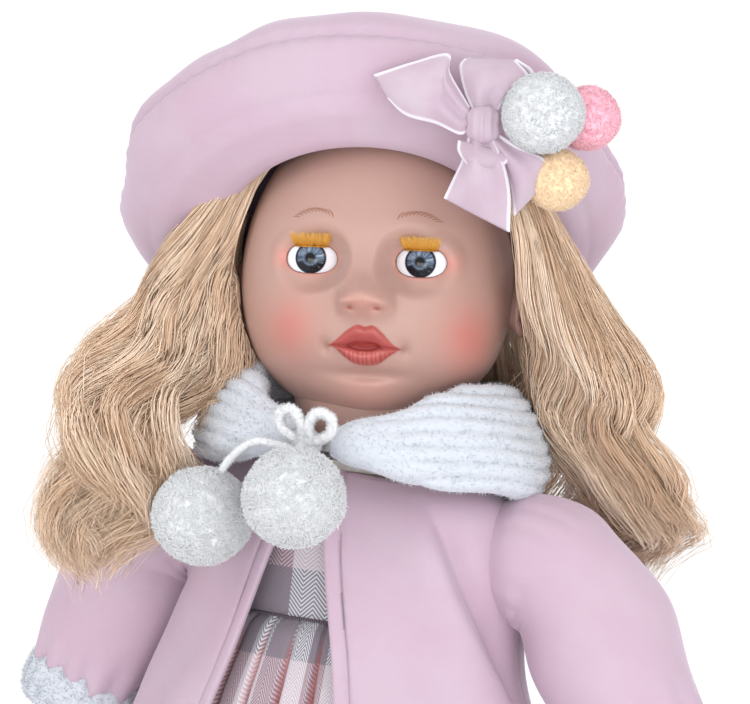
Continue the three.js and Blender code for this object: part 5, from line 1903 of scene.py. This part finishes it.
def make_arm(name, side):
    drop = ARM_DROP[name]
    s = np.linspace(-22, 119, 170)
    angle = circle(48)[None, :]
    radius = smooth_rows(ARM_RADII, s)[:, :1]
    elbow = -0.8 * bell(s[:, None] - 51, 2.2) * smooth(-np.cos(angle), 0.2, 1)
    wrist = -0.8 * bell(s[:, None] - 93.5, 1.6)
    radius = radius + elbow + wrist + 0 * angle
    thin = 1 - 0.38 * smooth(s, 94, 104)
    bodies = [loft(arm_rings(s, radius, drop, angle, thin[:, None]))]

    def at(s_mm, across, lift):
        middle, rise = arm_frame(np.array([float(s_mm)]), drop)
        return middle[0] + across * SIDEWAYS + lift * rise[0]

    for across, reach, thick in FINGERS:
        stops = [(108, 0.8, 0), (114, 0.95, 0.2), (114 + reach * 0.5, 1.05, -0.2), (114 + reach, 1.1, -2.6)]
        path = [at(stop, across * spread, lift) for stop, spread, lift in stops]
        bodies.append(stub(path, [thick * 1.05, thick * 1.1, thick, thick * 0.86]))
    thumb = [at(98, -5, -0.5), at(103, -9.4, -1.2), at(108, -12.2, -2.4), at(112, -12.8, -4.2)]
    bodies.append(stub(thumb, [3.6, 3.3, 2.9, 2.4]))
    points, faces = merged(*bodies)
    points = points * [side, 1, 1]
    if side < 0:
        faces = [part[:, ::-1] for part in faces]
    arm = fused(piece(f"{name}_arm_skin", in_doll(points), faces, VINYL), 0.6, 4)
    dress(arm, f"{name}_arm", "vinyl", f"{name}_arm")


HIP = np.array([27.0, 0.0, 188.0])
HIP_R = 19.6
SOLE_T = 7.0
LEG_ROWS = [
    # z, half across, half front to back, shift to the front
    (SOLE_T + 12, 11, 13, -2),
    (30, 10.8, 12, -1.6),
    (38, 11, 11.8, -1),
    (55, 13.5, 14.5, -0.6),
    (75, 15, 16, -0.6),
    (92, 13.9, 14.6, -0.2),
    (99, 13.7, 14.0, 0),
    (112, 15.0, 15.6, 0),
    (150, 17.4, 18, 0),
    (172, 18.3, 18.9, 0),
]


def ankle_grid(z, extra, columns, side):
    """Rings round the lower leg, a little outside the skin."""
    rows = smooth_rows(LEG_ROWS, z)
    angle = circle(columns)[None, :]
    x = HIP[0] + (rows[:, :1] + extra) * np.cos(angle)
    y = -rows[:, 2:3] + (rows[:, 1:2] + extra) * np.sin(angle)
    grid = np.stack([x * side, y, z[:, None] + 0 * angle], -1)
    return grid if side > 0 else grid[:, ::-1]


def make_leg(name, side):
    z = np.linspace(LEG_ROWS[0][0], 172, 120)
    dimple = 0.9 * bell(z - 104, 4)[:, None]
    angle = circle(72)[None, :]
    knees = dimple * (bell(angle - 5.1, 0.22) + bell(angle - 4.32, 0.22))
    crease = 0.8 * bell(z[:, None] - 97, 1.4) * smooth(np.sin(angle), -0.1, 0.9)
    ankle = 0.7 * bell(z[:, None] - 33, 1.5)
    shaft = ankle_grid(z, -(knees + crease + ankle), 72, side)
    polar = np.arcsin(np.clip((172 - HIP[2]) / HIP_R, -1, 1)) + np.linspace(0.05, 1, 22) * 2.38
    polar = np.minimum(polar, math.pi / 2 - 0.03)
    ball = np.stack(
        [
            HIP[0] + HIP_R * np.cos(polar)[:, None] * np.cos(angle),
            HIP_R * np.cos(polar)[:, None] * np.sin(angle),
            HIP[2] + HIP_R * np.sin(polar)[:, None] + 0 * angle,
        ],
        -1,
    )
    ball[..., 0] *= side
    ball = ball if side > 0 else ball[:, ::-1]
    points, faces, uv = loft(np.concatenate([shaft, ball]))
    put(f"{name}_leg_skin", points, faces, VINYL, f"{name}_leg", "vinyl", f"{name}_leg", uv=uv)


def knit_finish():
    f = Finish("SockKnit", roughness=0.9, sheen_weight=0.3, specular_ior_level=0.2)
    place = f.place()
    around, along_leg, _ = f.parts(f.place("UV"))
    stitch = f.math("MULTIPLY", f.thread(around, 1.3), f.thread(along_leg, 1.0))
    yarn = f.noise(place, 2600, 2)
    # painted shade: darker in the gaps between stitches; the yarn noise below is random tone
    colour = f.mix(stitch, rgb(226, 219, 216), rgb(250, 247, 244))
    f.set("Base Color", f.mix(f.math("MULTIPLY", yarn, 0.25), colour, rgb(214, 204, 202)))
    return f.bump(f.math("ADD", stitch, f.math("MULTIPLY", yarn, 0.4)), 0.16, 0.8).material


def leather_finish():
    f = Finish("ShoeLeather", roughness=0.3, coat_weight=0.35, coat_roughness=0.18, specular_ior_level=0.5)
    place = f.place()
    grain = f.cells(place, 1500)
    cloud = f.noise(place, 60, 3)
    f.set("Base Color", f.mix(cloud, rgb(214, 146, 172), rgb(232, 172, 194)))
    f.set("Roughness", f.between(cloud, 0.2, 0.8, 0.26, 0.42))
    return f.bump(f.math("ADD", f.math("MULTIPLY", grain, 0.7), f.noise(place, 900, 2)), 0.05, 0.5).material


def rubber_finish():
    f = Finish("SoleRubber", roughness=0.55, specular_ior_level=0.35)
    place = f.place()
    speck = f.noise(place, 800, 3)
    f.set("Base Color", f.mix(speck, rgb(238, 226, 220), rgb(250, 243, 238)))
    f.set("Roughness", f.between(speck, 0.3, 0.7, 0.48, 0.66))
    return f.bump(speck, 0.05, 0.4).material


KNIT = knit_finish()
LEATHER = leather_finish()
RUBBER = rubber_finish()
FOOT = np.array([HIP[0], -11, SOLE_T + 1.2])
UPPER = np.array([HIP[0], -10.0, SOLE_T])
UPPER_HALF = np.array([17.0, 38.0, 25.0])
MOUTH_HALF = np.array([12.4, 23.0])
MOUTH_Y = -2.0


def make_sock(name, side):
    z = np.linspace(LEG_ROWS[0][0] - 2, 63, 60)
    z = np.clip(z, LEG_ROWS[0][0], None)
    shaft = loft(ankle_grid(z, 0.9, 60, side))
    foot = loft(FOOT * [side, 1, 1] + on_ball_grid(30, 48) * [15.2, 32.4, 17.2])
    points, faces = merged(shaft, foot)
    points[:, 2] = np.maximum(points[:, 2], SOLE_T + 0.3)
    sock = fused(piece(f"{name}_sock", in_doll(points), faces, KNIT), 0.8, 6)
    dress(sock, f"{name}_leg", "check_cloth")
    z = np.array([50.0, 50.3, 52, 56, 60, 63, 64.6, 65.0, 64.4, 62.5, 60])
    stand = np.array([1.0, 2.6, 3.1, 3.0, 2.9, 2.8, 2.3, 1.5, 0.8, 0.5, 0.4])
    t = np.linspace(0, 1, 46)
    z, stand = (np.interp(t, np.linspace(0, 1, len(z)), row) for row in (z, stand))
    ribs = 0.35 * np.cos(circle(288) * 48)[None, :]
    cuff = ankle_grid(z, stand[:, None] + ribs * smooth(stand, 1, 2)[:, None], 288, side)
    points, faces, uv = loft(cuff, False, False)
    put(f"{name}_sock_cuff", points, faces, KNIT, f"{name}_leg", "check_cloth", uv=uv)


def on_ball_grid(rows, columns):
    """Rings of directions from the south pole of a ball to the north."""
    polar = np.linspace(-math.pi / 2 + 0.04, math.pi / 2 - 0.04, rows)[:, None]
    angle = circle(columns)[None, :]
    across = np.cos(polar)
    return np.stack([across * np.cos(angle), across * np.sin(angle), np.sin(polar) + 0 * angle], -1)


def make_shoe(name, side):
    angle = circle(144)
    c, s = np.cos(angle), np.sin(angle)
    full = 1 / np.sqrt((c / UPPER_HALF[0]) ** 2 + (s / UPPER_HALF[1]) ** 2)
    shift = UPPER[1] - MOUTH_Y
    a = (c / MOUTH_HALF[0]) ** 2 + (s / MOUTH_HALF[1]) ** 2
    b = 2 * s * shift / MOUTH_HALF[1] ** 2
    k = (shift / MOUTH_HALF[1]) ** 2 - 1
    mouth = (-b + np.sqrt(b * b - 4 * a * k)) / (2 * a)
    top = np.arccos(mouth / full)

    def skin(share, wall):
        """Ring of the upper at a share of the way from the sole to the mouth."""
        polar = top * share
        r = full * np.cos(polar) - wall
        z = SOLE_T + (UPPER_HALF[2] - wall) * np.sin(polar)
        return np.stack([UPPER[0] + r * c, UPPER[1] + r * s, z], -1)

    share = np.linspace(0, 1, 40)
    outer = [skin(t, 0.35 * bell(t - 0.62, 0.02)) for t in share]  # with the groove of the toe seam
    inner = [skin(t, 1.5) for t in share[::-1]]
    rings = np.array(outer + inner)
    rings[..., 0] *= side
    rings = rings if side > 0 else rings[:, ::-1]
    points, faces, _ = loft(rings, False, False)
    ring = np.arange(144)
    last = (len(rings) - 1) * 144
    faces.append(np.column_stack([last + ring, last + (ring + 1) % 144, (ring + 1) % 144, ring]))
    put(f"{name}_shoe_upper", points, faces, LEATHER, f"{name}_leg", "shoe", f"{name}_shoe")
    rim = skin(1.0, 0.6)
    binding = tube(np.vstack([rim, rim[:1]]), 1.1, 10)
    bar = np.linspace(-1, 1, 50)
    x, z = UPPER[0] + 16.9 * np.sin(bar * 1.45), 14.5 + 16.2 * np.cos(bar * 1.42) ** 0.9
    strap = strap_rings(np.stack([x, -17.5 + 2.0 * bar**2, z], -1), 3.6, 0.65)
    button = UPPER + [15.2, -7.4, 11.5]
    knob = button + on_ball_grid(20, 28) * [1.7, 2.6, 2.6]
    trims = ("binding", binding, LEATHER), ("strap", strap, LEATHER), ("button", knob, RUBBER)
    for label, rings, finish in trims:
        rings = rings * [side, 1, 1]
        points, faces, _ = loft(rings if side > 0 else rings[:, ::-1])
        put(f"{name}_shoe_{label}", points, faces, finish, f"{name}_leg", "shoe")
    heights = np.array([0, 0.25, 0.9, 1.8, 2.0, 2.2, 4.6, 4.9, 5.1, 5.4, 6.6, 7.0])
    inset = np.array([2.2, 0.9, 0.2, 0.0, 0.35, 0.0, 0.0, 0.5, 0.5, -0.2, -0.2, 0.5])
    x = 17.6 * np.sign(c) * np.abs(c) ** 0.86
    y = -4 + np.where(s < 0, 45, 33) * np.sign(s) * np.abs(s) ** 0.9
    waist = 1 - 0.1 * bell(y - 6, 12)
    outline = np.stack([x * waist, y], -1)
    outward = unit(np.stack([outline[:, 0] / 17.6**2, (y + 4) / 40**2], -1))
    rings = []
    for height, step in zip(heights, inset):
        flat = outline - outward * step
        rings.append(np.column_stack([HIP[0] + flat[:, 0], flat[:, 1], np.full(len(flat), height)]))
    rings = np.array(rings) * [side, 1, 1]
    points, faces, _ = loft(rings if side > 0 else rings[:, ::-1])
    put(f"{name}_shoe_sole", points, faces, RUBBER, f"{name}_leg", "shoe")


def strap_rings(path, half_width, half_thick):
    """Rings of a flat band with rounded edges along a path across the foot."""
    tangent = unit(np.gradient(path, axis=0))
    lift = unit(np.cross(tangent, SIDEWAYS))
    t = circle(28)
    across = np.sign(np.cos(t)) * np.abs(np.cos(t)) ** 0.5 * half_width
    thick = np.sign(np.sin(t)) * np.abs(np.sin(t)) ** 0.7 * half_thick
    return path[:, None] + across[None, :, None] * SIDEWAYS + thick[None, :, None] * lift[:, None]


for side_name, side in SIDES:
    make_arm(side_name, side)
    make_leg(side_name, side)
    make_sock(side_name, side)
    make_shoe(side_name, side)


# ---------------------------------------------------------------- stuffed body
def cotton_finish():
    f = Finish("BodyCotton", roughness=0.92, sheen_weight=0.15, specular_ior_level=0.2)
    place = f.place()
    x, y, z = f.parts(f.place_mm())
    weave = f.math("MAXIMUM", f.thread(f.math("ADD", x, y), 0.7), f.thread(z, 0.7, 1.4))
    slub = f.noise(f.scaled(place, (1, 1, 9)), 260, 3)
    colour = f.mix(slub, rgb(236, 222, 208), rgb(246, 236, 226))
    # painted shade: darker in the gaps of the weave; the slub is random tone
    f.set("Base Color", f.mix(f.between(weave, 0, 0.5), rgb(212, 194, 180), colour))
    return f.bump(f.math("ADD", weave, f.math("MULTIPLY", slub, 0.5)), 0.12, 0.7).material


COTTON = cotton_finish()
VOICE_HALF = np.array([25.0, 0.0, 28.0])
POCKET_FRONT_Y = -12.0
VOICE_Z = 243.0
BODY_ROWS = [
    (176, 15, 12),
    (181, 36, 26),
    (190, 44, 31.5),
    (215, 45.5, 32.5),
    (245, 43.5, 31.5),
    (272, 42.5, 30.5),
    (296, 45.5, 31.5),
    (307, 42.5, 28.5),
    (316, 33, 23),
    (320, 26, 21),
    (322.6, 18, 18),
    (327, 17.6, 17.6),
]


def make_body():
    z = np.concatenate([[176, 178], np.linspace(181, 327, 90)])
    rows = smooth_rows(BODY_ROWS, z)
    angle = circle(120)[None, :]
    body = np.stack([rows[:, :1] * np.cos(angle), rows[:, 1:2] * np.sin(angle), z[:, None] + 0 * angle], -1)
    thighs = smooth(HIP[2] + 8 - z, 0, 22)[:, None] * bell(np.abs(body[..., 0]) - HIP[0], 17)
    body[..., 2] += 12 * thighs
    points, faces, _ = loft(body)
    made = piece("stuffed_body", in_doll(points), faces, COTTON)
    corners = np.array([[x, y, z] for x in (-1, 1) for y in (0, 1) for z in (-1, 1)], float)
    half = VOICE_HALF + [0.6, 0, 0.6]
    depth = np.where(corners[:, 1] > 0, 60, POCKET_FRONT_Y)
    box = np.column_stack([corners[:, 0] * half[0], depth, VOICE_Z + corners[:, 2] * half[2]])
    sides = np.array([[0, 1, 3, 2], [4, 6, 7, 5], [0, 4, 5, 1], [2, 3, 7, 6], [0, 2, 6, 4], [1, 5, 7, 3]])
    pocket = piece("pocket_cutter", in_doll(box), sides, COTTON, smooth_shaded=False)
    cut = made.modifiers.new("pocket", "BOOLEAN")
    cut.object = pocket
    cut.solver = "EXACT"
    even = made.modifiers.new("even", "REMESH")
    even.mode = "VOXEL"
    even.voxel_size = 4 * MM
    settled(made)
    bpy.data.objects.remove(pocket)
    pillow(made, pressure=4, most_mm=2.2)
    rounded = made.modifiers.new("rounded", "SUBSURF")
    rounded.levels = rounded.render_levels = 1
    settled(made)
    dress(made, "torso", "body_cloth", "cloth_body")


def pillow(made, pressure, most_mm):
    """Lets the filling push a padded piece out by cloth simulation; no point moves further than most_mm."""
    scene = bpy.context.scene
    start = np.empty(len(made.data.vertices) * 3)
    made.data.vertices.foreach_get("co", start)
    cloth = made.modifiers.new("cloth", "CLOTH")
    cloth.settings.quality = 5
    cloth.settings.mass = 0.2
    cloth.settings.use_pressure = True
    cloth.settings.uniform_pressure_force = pressure
    cloth.settings.effector_weights.gravity = 0
    cloth.point_cache.frame_start = 1
    cloth.point_cache.frame_end = 16
    for step in range(1, 17):
        scene.frame_set(step)
    swollen = np.empty_like(start)
    made.evaluated_get(bpy.context.evaluated_depsgraph_get()).data.vertices.foreach_get("co", swollen)
    made.modifiers.remove(cloth)
    scene.frame_set(1)
    move = (swollen - start).reshape(-1, 3)
    reach = np.linalg.norm(move, axis=1, keepdims=True)
    limit = most_mm * MM
    move *= np.tanh(reach / limit) * limit / np.maximum(reach, 1e-9)
    made.data.vertices.foreach_set("co", (start.reshape(-1, 3) + move).ravel())
    made.data.update()


make_body()


# ---------------------------------------------------------------- materials of the parts inside
def moulded_finish(name, dark, light, roughness, size=420):
    """Injection-moulded plastic: a fine spark-eroded grain, faint flow clouds and handling marks."""
    f = Finish(name, roughness=roughness, specular_ior_level=0.45, subsurface_weight=0.03)
    place = f.place()
    cloud = f.noise(place, 45, 3)
    grain = f.noise(place, size * 6, 2)
    scuff = f.noise(f.scaled(place, (1, 7, 1)), 380, 4)
    f.set("Base Color", f.mix(cloud, dark, light))
    f.set("Roughness", f.between(scuff, 0.45, 0.75, roughness - 0.08, roughness + 0.15))
    return f.bump(f.math("ADD", grain, f.math("MULTIPLY", scuff, 0.3)), 0.04, 0.5).material


def metal_finish(name, colour, roughness, stretch=(1, 1, 14)):
    f = Finish(name, metallic=1.0, roughness=roughness)
    place = f.place()
    lines = f.noise(f.scaled(place, stretch), 900, 3)
    stain = f.noise(place, 90, 3)
    f.set("Base Color", f.mix(stain, tuple(0.72 * c for c in colour), colour))
    f.set("Roughness", f.between(f.math("ADD", lines, stain), 0.6, 1.4, roughness - 0.08, roughness + 0.18))
    return f.bump(lines, 0.02, 0.5).material


def board_finish():
    f = Finish("BoardGreen", roughness=0.35, coat_weight=0.4, coat_roughness=0.2)
    x, _, z = f.parts(f.place_mm())
    tracks = f.math("MAXIMUM", f.thread(f.math("ADD", x, f.math("PINGPONG", z, 5)), 2.6), f.thread(z, 4.2))
    pads = f.between(f.cells(f.scaled(f.place(), (1, 0.2, 1)), 260), 0.16, 0.22, 1, 0)
    base = f.mix(f.between(tracks, 0.86, 0.95), rgb(24, 84, 52), rgb(44, 122, 76))
    f.set("Base Color", f.mix(pads, base, rgb(206, 200, 190)))
    return f.bump(f.math("ADD", tracks, pads), 0.06, 0.6).material


def battery_finish():
    f = Finish("BatteryJacket", roughness=0.3, coat_weight=0.3, coat_roughness=0.15)
    _, _, z = f.parts(f.place_mm())
    band = f.between(z, VOICE_Z + 12, VOICE_Z + 12.4)
    speck = f.noise(f.place(), 700, 3)
    jacket = f.mix(band, rgb(48, 78, 126), rgb(196, 150, 82))
    f.set("Base Color", f.mix(f.math("MULTIPLY", speck, 0.3), jacket, rgb(30, 36, 52)))
    f.set("Metallic", f.between(speck, 0.3, 0.7, 0.35, 0.6))
    return f.bump(speck, 0.03, 0.4).material


def cone_finish():
    """Pressed-steel basket and paper cone of a small speaker, in rings round its middle."""
    f = Finish("SpeakerCone", roughness=0.6, specular_ior_level=0.3)
    x, _, z = f.parts(f.place_mm())
    up = f.math("SUBTRACT", z, VOICE_Z + 12)
    radius = f.math("SQRT", f.math("ADD", f.math("MULTIPLY", x, x), f.math("MULTIPLY", up, up)))
    rings = f.thread(radius, 1.5)
    steel = f.between(radius, 9.2, 9.6)
    paper = f.mix(f.noise(f.place(), 900, 4), rgb(30, 29, 31), rgb(58, 55, 56))
    f.set("Base Color", f.mix(steel, paper, rgb(176, 178, 182)))
    f.set("Metallic", steel)
    return f.bump(f.math("MULTIPLY", rings, f.math("SUBTRACT", 1.0, steel)), 0.2, 0.6).material


CASING = moulded_finish("CasingPlastic", rgb(226, 226, 224), rgb(244, 244, 241), 0.42)
NYLON = moulded_finish("NylonTie", rgb(214, 211, 202), rgb(240, 238, 230), 0.5, 260)
BUTTON_PLASTIC = moulded_finish("ButtonPlastic", rgb(226, 120, 152), rgb(242, 158, 182), 0.35)
SOCKET_PLASTIC = moulded_finish("SocketPlastic", rgb(196, 196, 198), rgb(222, 222, 224), 0.5)
BRIGHT_STEEL = metal_finish("SpringSteel", rgb(214, 216, 220), 0.26)
DULL_LEAD = metal_finish("LeadWeight", rgb(142, 144, 150), 0.5, (1, 1, 1))
INNER = {
    CASING: ["voice_case_front", "voice_case_back", "battery_door", "power_switch", "neck_swivel"],
    NYLON: ["neck_cable_tie"],
    BUTTON_PLASTIC: ["press_button"],
    SOCKET_PLASTIC: ["left_eye_socket", "right_eye_socket"],
    BRIGHT_STEEL: ["battery_door_screw", "button_spring"],
    DULL_LEAD: ["left_eye_weight", "right_eye_weight"],
    board_finish(): ["circuit_board"],
    battery_finish(): ["battery_1", "battery_2", "battery_3"],
    cone_finish(): ["speaker"],
}
for finish, nodes in INNER.items():
    for node in nodes:
        mesh = bpy.data.objects[node].data
        mesh.materials.clear()
        mesh.materials.append(finish)
